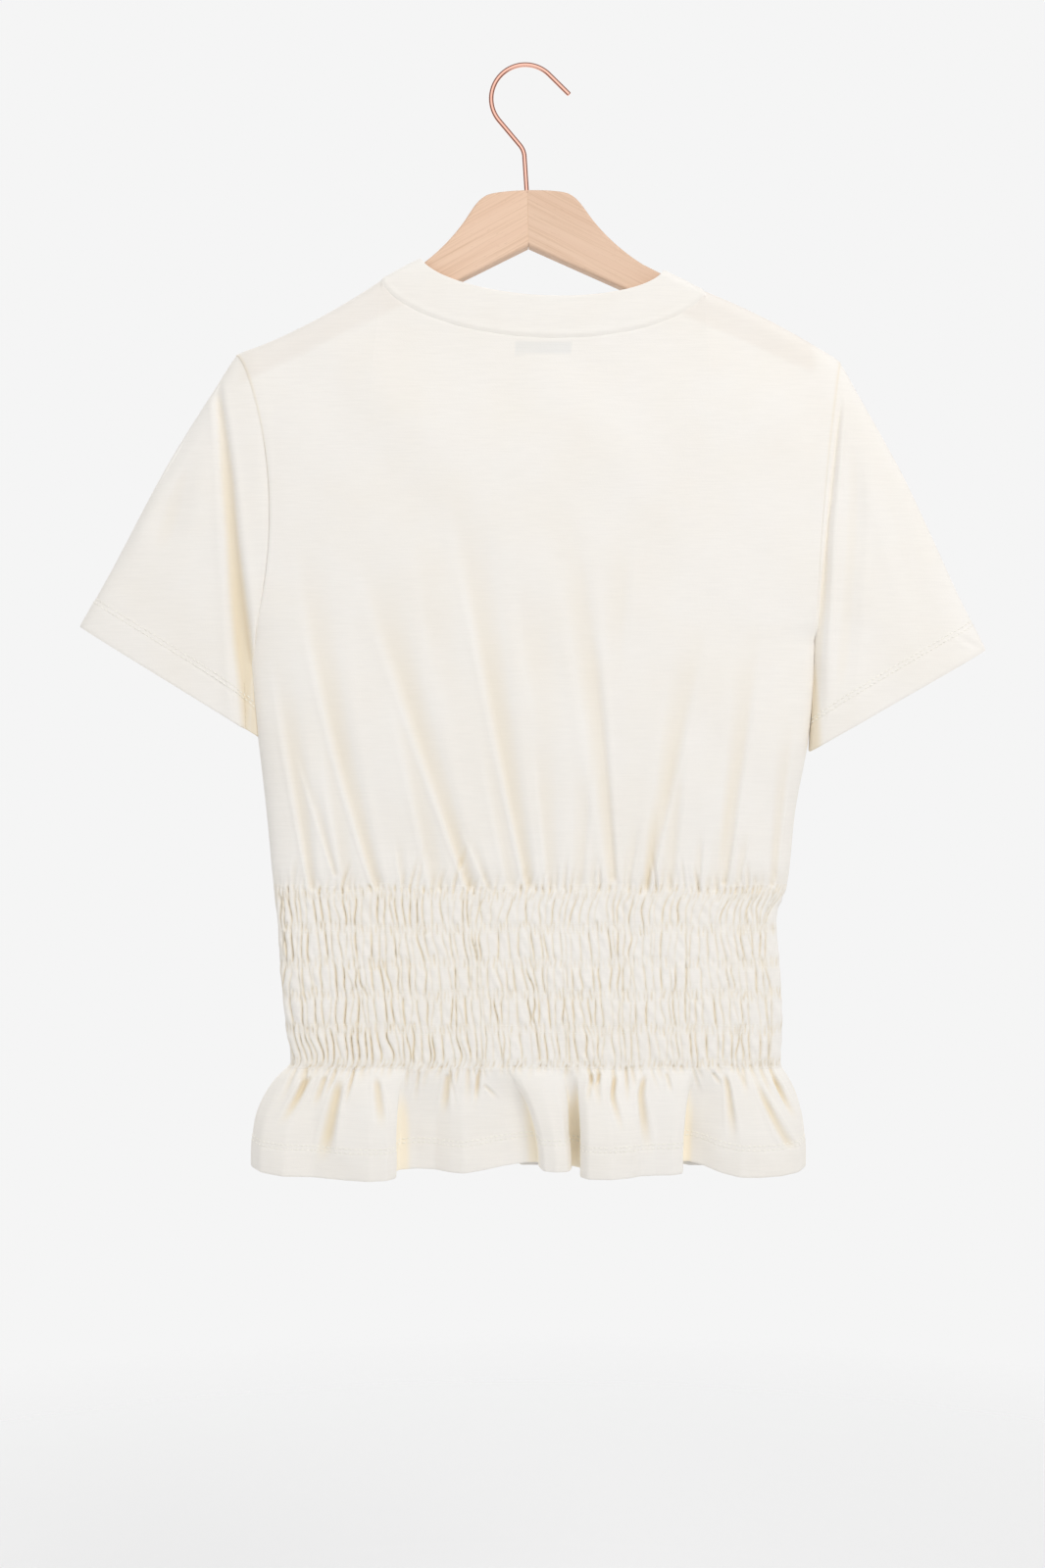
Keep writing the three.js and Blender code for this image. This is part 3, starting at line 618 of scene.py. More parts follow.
# Columns: X and Z of its top, X and Z of its end, how it bends (over 1 its top is more upright, under
# 1 its end is), its depth at the top and end, its width there and, where it goes slowly, the share of
# its length over which it does.
BODICE_TABLE = {
    Side.BACK: (
        (-166.7, -386, -142, -556, 1, 1.3, 2.3, 6.7, 2.3),
        (-153.5, -451, -126.4, -545, 1, 0.9, 1.7, 3.7, 1.6),
        (-148.8, -298, -98, -556, 1.5, 1.3, 2.7, 9.8, 2.6), (-86, -515, -81, -556, 1, 0.7, 1.4, 2.6, 1.5),
        (-114.5, -308, -36, -556, 1, 1.3, 2.9, 10.5, 2.7), (-44.6, -501, -23.4, -555, 1, 0.7, 1.6, 3.4, 1.5),
        (-49.8, -265, 3, -556, 1, 1.3, 2.9, 10.5, 2.6), (16.2, -278, 59.7, -550, 0.55, 1.1, 2.3, 9.8, 2.6),
        (66.3, -311, 59.7, -419, 1, 0.7, 0.7, 6.8, 6.8, 0.5), (121.8, -357, 80, -560, 0.9, 1.1, 2.3, 9, 2.4),
        (154.1, -364, 133, -552, 1, 1.1, 2.1, 7.5, 2.2), (117.2, -508, 115.8, -555, 1, 0.7, 1.4, 2.6, 1.5),
        (177.2, -429, 166, -552, 1, 0.9, 1.7, 5.3, 1.9), (88.8, -487, 81.5, -555, 1, 0.7, 1.3, 3.7, 1.5),
        (148.8, -508, 141.6, -556, 1, 0.7, 1.4, 3, 1.5), (28, -522, 25.4, -556, 1, 0.5, 1.3, 2.3, 1.2),
        (48.5, -522, 43.9, -556, 1, 0.5, 1.3, 2.3, 1.2), (75.6, -501, 68.3, -555, 1, 0.5, 1.1, 3, 1.5),
        (-8, -330, 22, -480, 1, 0.6, 0.6, 9.5, 8.2, 0.5), (-70, -300, -52, -470, 1, 0.6, 0.6, 9.5, 9.5, 0.5),
        (-136, -420, -119, -556, 1, 0.5, 1.3, 7, 3.4), (-90, -395, -59, -556, 1, 0.6, 1.6, 8, 3.8),
        (-30, -430, -9, -556, 1, 0.5, 1.3, 6.5, 3.2), (8, -430, 17.5, -556, 1, 0.6, 1.6, 6.5, 2.9),
        (44, -440, 36, -556, 1, 0.5, 1.3, 6, 3), (104, -430, 97, -556, 1, 0.6, 1.7, 6.5, 3),
        (142, -450, 126, -556, 1, 0.5, 1.3, 6, 3),
    ),
    Side.FRONT: (
        (-160, -360, -137, -556, 1, 1.3, 2.5, 8.4, 2.3), (-128, -330, -88, -556, 1.2, 1.3, 2.9, 9.8, 2.6),
        (-66, -345, -34, -556, 0.9, 1.3, 2.7, 9.8, 2.6), (-8, -330, 14, -556, 1, 1.3, 2.9, 10.5, 2.6),
        (62, -350, 62, -556, 1, 1.3, 2.5, 9, 2.6), (120, -335, 101, -556, 0.8, 1.3, 2.7, 9.8, 2.6),
        (166, -380, 146, -556, 1, 1.1, 2.2, 7.5, 2.2), (-112, -505, -107, -556, 1, 0.7, 1.4, 3, 1.5),
        (-60, -495, -55, -556, 1, 0.7, 1.4, 3, 1.5), (-14, -500, -8, -556, 1, 0.7, 1.4, 3, 1.5),
        (38, -500, 36, -556, 1, 0.7, 1.4, 3, 1.5), (86, -505, 82, -556, 1, 0.7, 1.4, 3, 1.5),
        (128, -500, 122, -556, 1, 0.7, 1.4, 3, 1.5), (30, -300, 38, -470, 1, 0.7, 0.7, 9.5, 8.9, 0.5),
        (-96, -300, -70, -450, 1, 0.7, 0.7, 9.5, 8.9, 0.5), (-132, -440, -112, -556, 1, 0.5, 1.3, 7, 3.4),
        (-78, -420, -60, -556, 1, 0.6, 1.6, 8, 3.6), (-22, -440, -12, -556, 1, 0.5, 1.3, 6.5, 3.2),
        (34, -430, 39, -556, 1, 0.6, 1.6, 6.5, 3), (92, -440, 82, -556, 1, 0.6, 1.5, 6.5, 3),
    ),
}
BODICE_CREASES = {side: tuple(bent(row) for row in rows) for side, rows in BODICE_TABLE.items()}

CLOTH = 1.2
PANEL_WIDTH = 370.0
HEM_ROWS_APART = 2.8
STITCH_SINK = 0.42
STITCH_WIDTH = 0.8
# Relief depths of folds and of small creases at which their painted shade is full.
DEEP_FOLD = 5.2
DEEP_CREASE = 3.0
ELASTIC_ROWS = (-556.7, -579.2, -602.3, -623.4, -646.5, -670.2)
ROW_HEIGHT = 5.5
SMOCKING_TOP = -550.0
SMOCKING_FOOT = -673.5
SMOCKING_MIDDLE = -610.0
FINE_STEPS = 6001
PINCH_SINK = 1.6
SMOCKING_SEED = {Side.BACK: 20, Side.FRONT: 70}
PUCKER_SLANT = (
    (-165, -120, -40, 20, 60, 120, 170),
    (-0.15, -0.2, -0.3, -0.2, 0.0, 0.12, 0.1),
)


def row_wander(side: Side, row: int, x: Array) -> Array:
    """Return how far an elastic row strays from its level along its length."""
    drift = Drift(SMOCKING_SEED[side] + row, across=(45, 160), down=(300, 400), waves=5)
    return 1.1 * drift.at(x, 0.0) * smooth(1 - ((x - 6) / 170) ** 6)


@functools.cache
def top_puckers(side: Side) -> tuple[Crease, ...]:
    """Make the short folds that rise out of the first row of smocking."""
    rng = np.random.default_rng(SMOCKING_SEED[side] + 40)
    found = []
    for x, strong in zip(*pleat_ends(side, 0, SMOCKING_TOP)):
        run = rng.uniform(14, 38) if rng.random() < 0.34 else rng.uniform(5, 13)
        slant = np.interp(x, *PUCKER_SLANT) + rng.normal(0, 0.1)
        top = (x - slant * run, SMOCKING_TOP + run)
        bend = (x - slant * run * 0.3 + rng.normal(0, 0.6), SMOCKING_TOP + run * 0.35)
        deep = (0.2 + 0.8 * strong) * np.interp(run, (5, 15, 38), (1.5, 2.1, 2.8))
        wide = rng.uniform(0.85, 1.35)
        path = (top, bend, (x, SMOCKING_TOP), (x, SMOCKING_TOP - 5.0))
        found.append(Crease(path, (0.3, deep), (wide * 1.8, wide), 0.25, fade=(0.6, 0.12)))
    return tuple(found)


@functools.cache
def foot_puckers(side: Side) -> tuple[Crease, ...]:
    """Make the short folds that leave the last row of smocking."""
    rng = np.random.default_rng(SMOCKING_SEED[side] + 90)
    found = []
    for x, strong in zip(*pleat_ends(side, -1, SMOCKING_FOOT)):
        run = rng.uniform(14, 32) if rng.random() < 0.3 else rng.uniform(4, 11)
        slant = np.interp(x, (-160, 0, 170), (0.38, 0.0, -0.38)) + rng.normal(0, 0.14)
        wide = rng.uniform(0.85, 1.4)
        path = ((x, SMOCKING_FOOT + 3.0), (x, SMOCKING_FOOT), (x - slant * run, SMOCKING_FOOT - run))
        deep = (0.2 + 0.8 * strong) * np.interp(run, (5, 15, 32), (1.5, 2.4, 3.2))
        found.append(Crease(path, (deep, 0.3), (wide, wide * 2.0), 0.25, fade=(0.12, 0.7)))
    return tuple(found)


def hem_rows(hem: float) -> Point:
    """Return the heights of a hem's two rows of stitches over its edge."""
    return hem, hem - HEM_ROWS_APART


def hem_relief(from_hem: Array, hem: float) -> Array:
    """Return the relief of a hem's two sunk rows of stitches, given the distance to its edge."""
    rows = bell(from_hem - hem, STITCH_WIDTH) + bell(from_hem - hem + HEM_ROWS_APART, STITCH_WIDTH)
    return -STITCH_SINK * rows


def hem_wall(from_hem: Array, hem: float, turned_up: float) -> Array:
    """Return a wall's thickness near its hem, thinned to a round edge and turned_up thicker above."""
    doubled = smooth((hem + 1.0 - from_hem) / 1.5)
    return lerp(CLOTH, CLOTH + turned_up, doubled) * roll(np.clip(from_hem / 1.0, 0.12, 1))


def side_fade(share: Array) -> Array:
    """Fade small folds out where the cloth turns at the sides, given the share across."""
    return roll(np.minimum(share, 1 - share) * PANEL_WIDTH / 10)


def fold_columns(count: int, reach: float = 0.006, extra: int = 8) -> Array:
    """Share out columns from side fold to side fold, closer together where they turn."""
    main = spread(np.linspace(0, 1, count), 0.12)
    near = reach * (np.arange(1, extra) / extra) ** 2
    kept = main[(main > reach) & (main < 1 - reach)]
    return np.concatenate([[0], near, [reach], kept, [1 - reach], 1 - near[::-1], [1]])


@dataclass
class Bodice:
    """The part of a panel above the smocking, gathered into its first row.

    Attributes:
        side: The side of the garment.
        columns: Columns across it.
        yoke_rows: Rows from the top edge to the underarm.
        waist_rows: Rows from there to the smocking.
        puff: How far it swells over the smocking.
        uneven: How uneven it is.
    """

    side: Side
    columns: int = 500
    yoke_rows: int = 46
    waist_rows: int = 60
    puff: float = 0.4
    uneven: float = 0.55

    def cloth(self) -> Cloth:
        """Shape the wall."""
        garment, side = GARMENT, self.side
        q_steps = np.linspace(0, 1, 4001)
        f = fold_columns(self.columns)
        q = np.interp(f, spread(q_steps, garment.column_spread), q_steps)
        edge_x, edge_z, rolled = garment.top_edge(side, q)
        under = garment.underarm

        v = (np.arange(self.yoke_rows) / self.yoke_rows)[:, None] ** 1.6
        left, right = garment.armhole(Hand.LEFT, v), garment.armhole(Hand.RIGHT, v)
        share = (edge_x - edge_x[0]) / (edge_x[-1] - edge_x[0])
        reach = garment.armhole_reach
        x = lerp(edge_x, lerp(under.left, under.right, f), v)
        x = x + (1 - share) ** reach * (left[0] - lerp(edge_x[0], under.left, v))
        x = x + share**reach * (right[0] - lerp(edge_x[-1], under.right, v))
        z = lerp(edge_z, under.z, v)
        drop = edge_z - z
        full = lerp(garment.shoulder_depth, under.depth, smooth(drop / garment.chest_reach))
        inner = full * lerp(roll(drop / garment.shoulder_roll), 1, rolled)
        depth = lerp(lerp(left[2], right[2], f), inner, flat(f, garment.side_flatness))

        w = (np.arange(self.waist_rows + 1) / self.waist_rows)[:, None]
        w = lerp(w, 1 - (1 - w) ** 2.2, 0.55)
        foot = SMOCKING_TOP
        low_z = lerp(under.z, foot, w)
        low_left, low_right, low_depth = garment.section(low_z)
        low_x = lerp(low_left, low_right, f)
        low_z = low_z + row_wander(side, 0, low_x) * w**7
        low_y = low_depth * flat(f, garment.side_flatness)

        x, z = np.concatenate([x, low_x]), np.concatenate([z, low_z])
        depth = np.concatenate([depth, low_y])
        middle = stacked(x, side.value * depth, z)
        normals = grid_normals(middle, False, np.array([0, side.value, 0.0]))
        up = np.sign(edge_x - SHOULDER_MIDDLE) * SHOULDER_SLOPE
        normals[0] = seam_normal(side, up, np.ones_like(up), rolled)
        level = np.concatenate([v[:, 0], np.ones(len(w))])
        turned = flat(level, garment.armhole_flatness)
        for column, outward in ((0, -1.0), (-1, 1.0)):
            out_x = np.full_like(level, outward)
            normals[:, column] = seam_normal(side, out_x, 1 - level, turned)

        from_side = np.minimum(f, 1 - f) * PANEL_WIDTH
        above_foot = z - (foot + row_wander(side, 0, x))
        gathers = creased(BODICE_CREASES[side] + top_puckers(side), x, z) * side_fade(f)
        puff = self.puff * bell(above_foot - 11.0, 8.0) * smooth(above_foot / 5)
        drift = self.uneven * Drift(3, (50, 140), (60, 220)).at(x, z) * roll(from_side / 25)
        hung = edge_z - z
        drift = drift * smooth(hung / 30) * smooth(above_foot / 20)
        seam = seam_groove(from_side) * (1 - np.clip(level * 1.05 - 0.02, 0, 1))[:, None] ** 0.3
        neck = -0.3 * bell(hung, 0.9) * rolled
        relief = gathers + puff * roll(from_side / 8) + drift + seam + neck
        # Masks for painted shade: tan in the creases, a thin dark line along the armhole seam, and
        # show-through shade over the hanger's arms and the label.
        fold = np.clip(-gathers / DEEP_FOLD, 0, 1)
        fold = np.maximum(fold, 0.4 * bell(from_side - 0.15, 0.35) * ((1 - level) ** 1.2)[:, None])
        notes = {"fold": fold, "wood_behind": wood_behind(x, z)}
        if side is Side.BACK:
            notes["label_behind"] = Label().behind(x, z)
        return Cloth(middle, normals, relief, np.full(x.shape, CLOTH), side=side, notes=notes)


def wood_behind(x: Array, z: Array) -> Array:
    """Tell where the hanger's arms lie right behind the cloth, 0 to 1: the mask of their painted shade."""
    underside = np.interp(x, (-188, 1.6, 191), (-214, -122, -207))
    over_arm = smooth((z - underside + 2.5) / 5.0)
    return over_arm * smooth((196 - np.abs(x - 2)) / 8.0)


def seam_groove(distance: Array) -> Array:
    """Return the relief beside a seam: a sunk edge and a soft welt next to it."""
    return -0.3 * bell(distance, 0.6) + 0.25 * bell(distance - 2.4, 1.4)


class Slits:
    """A band of folds side by side, each pressed in along a line of its own."""

    def __init__(
        self, rng: np.random.Generator, top: Array, foot: Array, left: Array, reach: Point, wild: float
    ) -> None:
        """Lay the folds from their tops to their feet.

        Args:
            rng: Source of chance.
            top: Where each starts, along the cloth.
            foot: Where it ends.
            left: How much of each is left at its top and foot, in two rows.
            reach: Least and most share of the band's height over which one grows.
            wild: How far they stray from straight.
        """
        self.top, self.foot, self.left = top, foot, left
        self.bow, self.sway = (rng.normal(0, 0.45, len(top)) * wild for _ in range(2))
        self.strong = rng.uniform(0.25, 1.0, len(top))
        self.reach = rng.uniform(*reach, size=(2, len(top)))

    def pressed(self, along: Array, share: float) -> tuple[Array, Array]:
        """Find how far the folds press the cloth in at one height.

        Args:
            along: Distance of each column along the cloth.
            share: Share of the band's height.

        Returns:
            The depth as a share of a whole fold, and how near the floor of a fold each column is.
        """
        lines = lerp(self.top, self.foot, 0.5 * share + 0.5 * smooth(share))
        lines = lines + self.bow * np.sin(np.pi * share) + self.sway * np.sin(2 * np.pi * share)
        held = lerp(self.left[0], 1, smooth(share / self.reach[0]))
        held = held * lerp(self.left[1], 1, smooth((1 - share) / self.reach[1]))
        order = np.argsort(lines)
        lines, strong = lines[order], (self.strong * held)[order]
        ends = np.concatenate([[-4.0], lines, [along[-1] + 4.0]])
        strong = np.concatenate([[0.3], strong, [0.3]])
        i = np.clip(np.searchsorted(ends, along, side="right") - 1, 0, len(ends) - 2)
        half = np.clip((ends[i + 1] - ends[i]) / 2, 0.7, 2.9)
        before, after = along - ends[i], ends[i + 1] - along
        right = np.clip(before / (half * 0.85), 0, 1)
        left = np.clip(after / (half * 1.15), 0, 1)
        dip = strong[i] * (1 - np.sqrt(1 - (1 - right) ** 2))
        dip = dip + strong[i + 1] * (1 - np.sqrt(1 - (1 - left) ** 2))
        floor = strong[i] * bell(before, 0.6) + strong[i + 1] * bell(after, 0.8)
        return np.minimum(dip, 1), np.minimum(floor, 1)


def shared_out(rng: np.random.Generator, run: float, pitch: Point) -> Array:
    """Share out folds along a run, closer together near its ends."""
    places = np.cumsum(rng.uniform(*pitch, size=int(3 * run / pitch[0])))
    near_side = np.interp(places, (0, 40, run - 40, run), (0.6, 1, 1, 0.68))
    places = 0.8 + np.cumsum(np.diff(places, prepend=0) * near_side)
    return places[places < run - 0.8]


@dataclass(frozen=True)
class Band:
    """Folds side by side between two heights, and how deep they are at most, 0 to 1."""

    high: float
    low: float
    depth: float
    slits: Slits


LONG_PITCH = (3.3, 6.4)
FINE_PITCH = (2.0, 4.0)
FINE_REACH = 6.0
HELD = 0.42


@functools.cache
def girth() -> tuple[Array, Array]:
    """Return shares across a panel at the smocking and how far along the cloth each lies."""
    dense = np.linspace(0, 1, FINE_STEPS)
    left, right, half = GARMENT.section(np.array(SMOCKING_MIDDLE))
    ring = np.stack([lerp(left, right, dense), half * flat(dense, GARMENT.side_flatness)], -1)
    return dense, np.append(0, np.linalg.norm(np.diff(ring, axis=0), axis=1).cumsum())


@functools.cache
def pleats(side: Side) -> tuple[Band, ...]:
    """Lay the folds of the smocking: long ones from row to row of elastic, fine ones along the rows."""
    rng = np.random.default_rng(SMOCKING_SEED[side])
    run = girth()[1][-1]
    rows = np.array(ELASTIC_ROWS)
    bands = []
    top = shared_out(rng, run, LONG_PITCH)
    held_top = np.full(len(top), 0.8)
    levels = np.concatenate([[SMOCKING_TOP + 2], rows, [SMOCKING_FOOT - 2]])
    for high, low in zip(levels[:-1], levels[1:]):
        tall = min(1.0, (high - low) / 20)
        lean = blurred(rng.normal(0, 3.0, len(top)), 1.6) + rng.normal(0, 0.6, len(top))
        foot = np.clip(top + lean * tall, 0.6, run - 0.6)
        gap = np.diff(np.sort(foot), append=run + 9)[np.argsort(np.argsort(foot))]
        held_foot = np.where(gap < 0.5 * LONG_PITCH[0], 0.0, HELD)
        held = np.stack([held_top, held_foot])
        bands.append(Band(high, low, 1.0, Slits(rng, top, foot, held, (0.15, 0.4), tall)))
        lasting = np.sort(foot[held_foot > 0])
        wide = np.nonzero(np.diff(lasting) > 1.25 * LONG_PITCH[1])[0]
        fresh = (lasting[wide] + lasting[wide + 1]) / 2 + rng.normal(0, 0.5, len(wide))
        held_top = np.concatenate([np.full(len(lasting), HELD), np.zeros(len(fresh))])
        top = np.concatenate([lasting, fresh])
        held_top, top = held_top[np.argsort(top)], np.sort(top)
    for row in rows:
        middle = shared_out(rng, run, FINE_PITCH)
        lean = blurred(rng.normal(0, 1.4, len(middle)), 2.0) + rng.normal(0, 0.4, len(middle))
        none = np.zeros((2, len(middle)))
        slits = Slits(rng, middle - lean / 2, middle + lean / 2, none, (0.25, 0.75), 0.6)
        bands.append(Band(row + FINE_REACH, row - FINE_REACH, 0.6, slits))
    return tuple(bands)


def pleat_ends(side: Side, place: int, level: float) -> tuple[Array, Array]:
    """Find where the smocking's long folds leave it.

    Args:
        side: The side of the garment.
        place: 0 for its top, -1 for its foot.
        level: The height there.

    Returns:
        X and the strength of each, from left to right.
    """
    slits = pleats(side)[0 if place == 0 else len(ELASTIC_ROWS)].slits
    dense, arc = girth()
    left, right, _ = GARMENT.section(np.array(level))
    at = slits.top if place == 0 else slits.foot
    order = np.argsort(at)
    return lerp(left, right, np.interp(at[order], arc, dense)), slits.strong[order]


@dataclass
class Smocking:
    """Rows of elastic that gather the cloth into upright folds.

    Attributes:
        side: The side of the garment.
        columns: Columns across it.
        rows: Rows down it.
        puff: Height of the cloth between two elastic rows.
        drawn: That height along the elastic, as a share.
    """

    side: Side
    columns: int = 530
    rows: int = 126
    puff: float = 2.7
    drawn: float = 0.84

    def cloth(self) -> Cloth:
        """Shape the wall."""
        garment, side = GARMENT, self.side
        dense, arc = girth()
        along = np.linspace(0, arc[-1], self.columns)
        f = np.interp(along, arc, dense)
        level = np.linspace(SMOCKING_TOP, SMOCKING_FOOT, self.rows)
        level = np.concatenate([[SMOCKING_TOP + 1.2], level, [SMOCKING_FOOT - 1.2]])[:, None]
        low, high, deep = garment.section(level)
        x = lerp(low, high, f)
        strays = np.stack([row_wander(side, k, x[0]) for k in range(len(ELASTIC_ROWS))])
        for k in range(1, len(ELASTIC_ROWS) - 1):
            strays[k] += 0.9 * Drift(SMOCKING_SEED[side] + 20 + k, (16, 45), (300, 400)).at(x[0], 0.0)
        rows = np.array(ELASTIC_ROWS)
        place = np.interp(-level[:, 0], -rows, np.arange(len(rows)))
        under = np.minimum(place.astype(int), len(rows) - 2)
        stray = lerp(strays[under], strays[under + 1], (place - under)[:, None])
        middle = stacked(x, side.value * deep * flat(f, garment.side_flatness), level + stray)
        normals = grid_normals(middle, False, np.array([0, side.value, 0.0]))
        normals[..., 2] = 0
        normals = unit(normals)
        normals[:, 0], normals[:, -1] = (-1, 0, 0), (1, 0, 0)

        dip, floor = self._folds(along, level[:, 0])
        from_row = np.min(np.abs(level - rows), axis=1, keepdims=True)
        crown = self.drawn + (1 - self.drawn) * smooth(from_row / 8.0)
        from_end = np.minimum(SMOCKING_TOP - level, (level - SMOCKING_FOOT) * 1.3)
        ends, raised = smooth(from_end / 3.0), smooth(from_end / 9.0)
        size = Drift(SMOCKING_SEED[side] + 5, (18, 60), (25, 90)).at(x, level)
        uneven = Drift(SMOCKING_SEED[side] + 6, (6, 15), (8, 26), waves=14).at(x, level)
        full = self.puff * (0.92 + 0.12 * size + 0.12 * uneven)
        to_side = roll(np.minimum(along, along[-1] - along) / 7)
        sides = 0.62 * to_side + 0.38
        deeper = 1 + 0.3 * smooth(-(x + 30) / 90) + 0.22 * smooth((-590 - level) / 50)
        relief = ((crown * full - PINCH_SINK) * raised - full * dip * deeper * to_side * ends) * sides
        small = creased(top_puckers(side) + foot_puckers(side), x, level + stray)
        small = small * (1 - ends) + np.minimum(small * 0.6, 0) * ends
        long = creased(BODICE_CREASES[side] + PEPLUM_CREASES[side], x, level + stray) * (1 - raised)
        relief = relief + (small + long) * side_fade(f)
        relief[0], relief[-1] = relief[1] - 0.7, relief[-2] - 0.7
        # Mask for painted shade: tan at the floors of the slits and in the creases and puckers.
        fold = np.maximum(floor * ends * 0.95 * deeper, np.clip(-small / DEEP_CREASE, 0, 1))
        fold = np.maximum(fold, np.clip(-long / DEEP_FOLD, 0, 1))
        notes = {"fold": np.clip(fold, 0, 1)}
        return Cloth(middle, normals, relief, np.full(x.shape, CLOTH), side=side, notes=notes)

    def _folds(self, along: Array, levels: Array) -> tuple[Array, Array]:
        """Lay long folds between the elastic rows and fine ones along them.

        Args:
            along: Distance of each column along the cloth.
            levels: Height of each row of the mesh.

        Returns:
            How far the cloth is pressed in, and how near a fold's floor it is.
        """
        shape = (len(levels), len(along))
        dip, floor = np.zeros(shape), np.zeros(shape)
        for band in pleats(self.side):
            for r in np.nonzero((levels <= band.high) & (levels > band.low))[0]:
                share = (band.high - levels[r]) / (band.high - band.low)
                press, near = band.slits.pressed(along, share)
                dip[r] = 1 - (1 - dip[r]) * (1 - band.depth * press)
                floor[r] = np.maximum(floor[r], (0.3 + 0.7 * band.depth) * near)
        return dip, floor


# Lines of the peplum's folds. Columns: X at the smocking, X at the hem, how far it stands out there,
# and the height of the hem.
PEPLUM_FOLDS = {
    Side.BACK: (
        (-157, -182.5, 0, -741.5), (-156, -183.5, 7, -742), (-153, -176, 14, -743.5),
        (-147, -160, 18.5, -745), (-138, -141, 16, -746), (-122, -120, 21, -747),
        (-104, -103, 25, -747), (-90, -91, 24.5, -746.5), (-82, -86, 19, -746),
        (-79, -88.5, 11.5, -745), (-76, -85, 6.5, -744.5), (-70, -73, 5.5, -744),
        (-53, -60, 6.5, -744.3), (-47, -50, 11, -744.5), (-42, -41, 13.5, -744.5),
        (-33, -29, 10.5, -743.5), (-25, -14, 6, -742), (-15, 2, 3.5, -740.5), (-11, 10, 4.5, -740),
        (-8.5, 9.8, 11, -741), (-5, 13, 17.5, -741.8), (7, 20.5, 20, -742), (19, 27.5, 18.5, -742),
        (25, 30.5, 12.5, -742), (27, 28, 6.5, -742), (29.5, 31, 3, -743), (32, 38, 4.5, -744),
        (34, 41, 10, -745), (36, 37, 17, -745.7), (41, 42, 23.5, -745.9), (53, 56, 26, -745.6),
        (70, 70, 23.5, -745), (80, 76, 19, -744.8), (92, 87, 17.5, -744.5), (104, 98, 19.5, -744),
        (110, 104.5, 17, -743.5), (112.5, 104, 10, -741), (114.5, 103, 6, -739.5),
        (118, 109, 5, -739), (125, 119, 8.5, -740.5), (132, 129, 14, -743), (141, 143, 20, -745.4),
        (149, 155, 21.5, -745.3), (158, 170, 19.5, -744.5), (165, 182, 15, -743),
        (169.5, 187.5, 8, -741.8), (171.5, 187.2, 0, -741.5),
    ),
    Side.FRONT: (
        (-157, -182.5, 0, -741.5), (-155.5, -183.5, 7, -742), (-152, -177, 14, -743),
        (-146, -165, 17, -744), (-138, -152, 12, -743.5), (-131, -141, 6.5, -742),
        (-124, -133, 9, -742.5), (-117, -129, 17, -744), (-108, -118, 23, -745.5),
        (-98, -104, 22, -745.5), (-92, -97, 15, -744.5), (-88, -98, 8, -743), (-82, -92, 4.5, -742),
        (-72, -76, 6, -742.5), (-62, -63, 13, -744), (-50, -48, 18, -745), (-40, -36, 15, -744.5),
        (-31, -25, 9, -743), (-22, -13, 5, -741.5), (-15, -4, 7, -742), (-10, -3, 14.5, -743.5),
        (-2, 5, 21.5, -745), (10, 18, 23, -745.5), (20, 29, 19, -745), (27, 34, 12, -744),
        (32, 33, 6, -742.5), (38, 40, 4, -742), (48, 54, 8, -743), (57, 66, 15, -744.5),
        (67, 79, 19.5, -745.5), (77, 90, 17, -745), (84, 96, 10, -743.5), (90, 101, 5.5, -742),
        (97, 107, 8, -742.5), (104, 112, 16, -744), (114, 124, 22, -745.5), (124, 137, 21, -745.5),
        (132, 145, 14, -744), (139, 150, 8, -742.5), (147, 159, 9, -742.5),
        (155, 170, 14.5, -743.5), (162, 180, 14, -743), (168, 187.5, 8, -742),
        (171.5, 187.2, 0, -741.5),
    ),
}


def nick(path: tuple[Point, ...], depth: Point, width: Point, fade: Point = (0.15, 0.5)) -> Crease:
    """Lay a small crease that leaves the smocking sharply and dies out in the frill."""
    return Crease(path, depth, width, fade=fade)


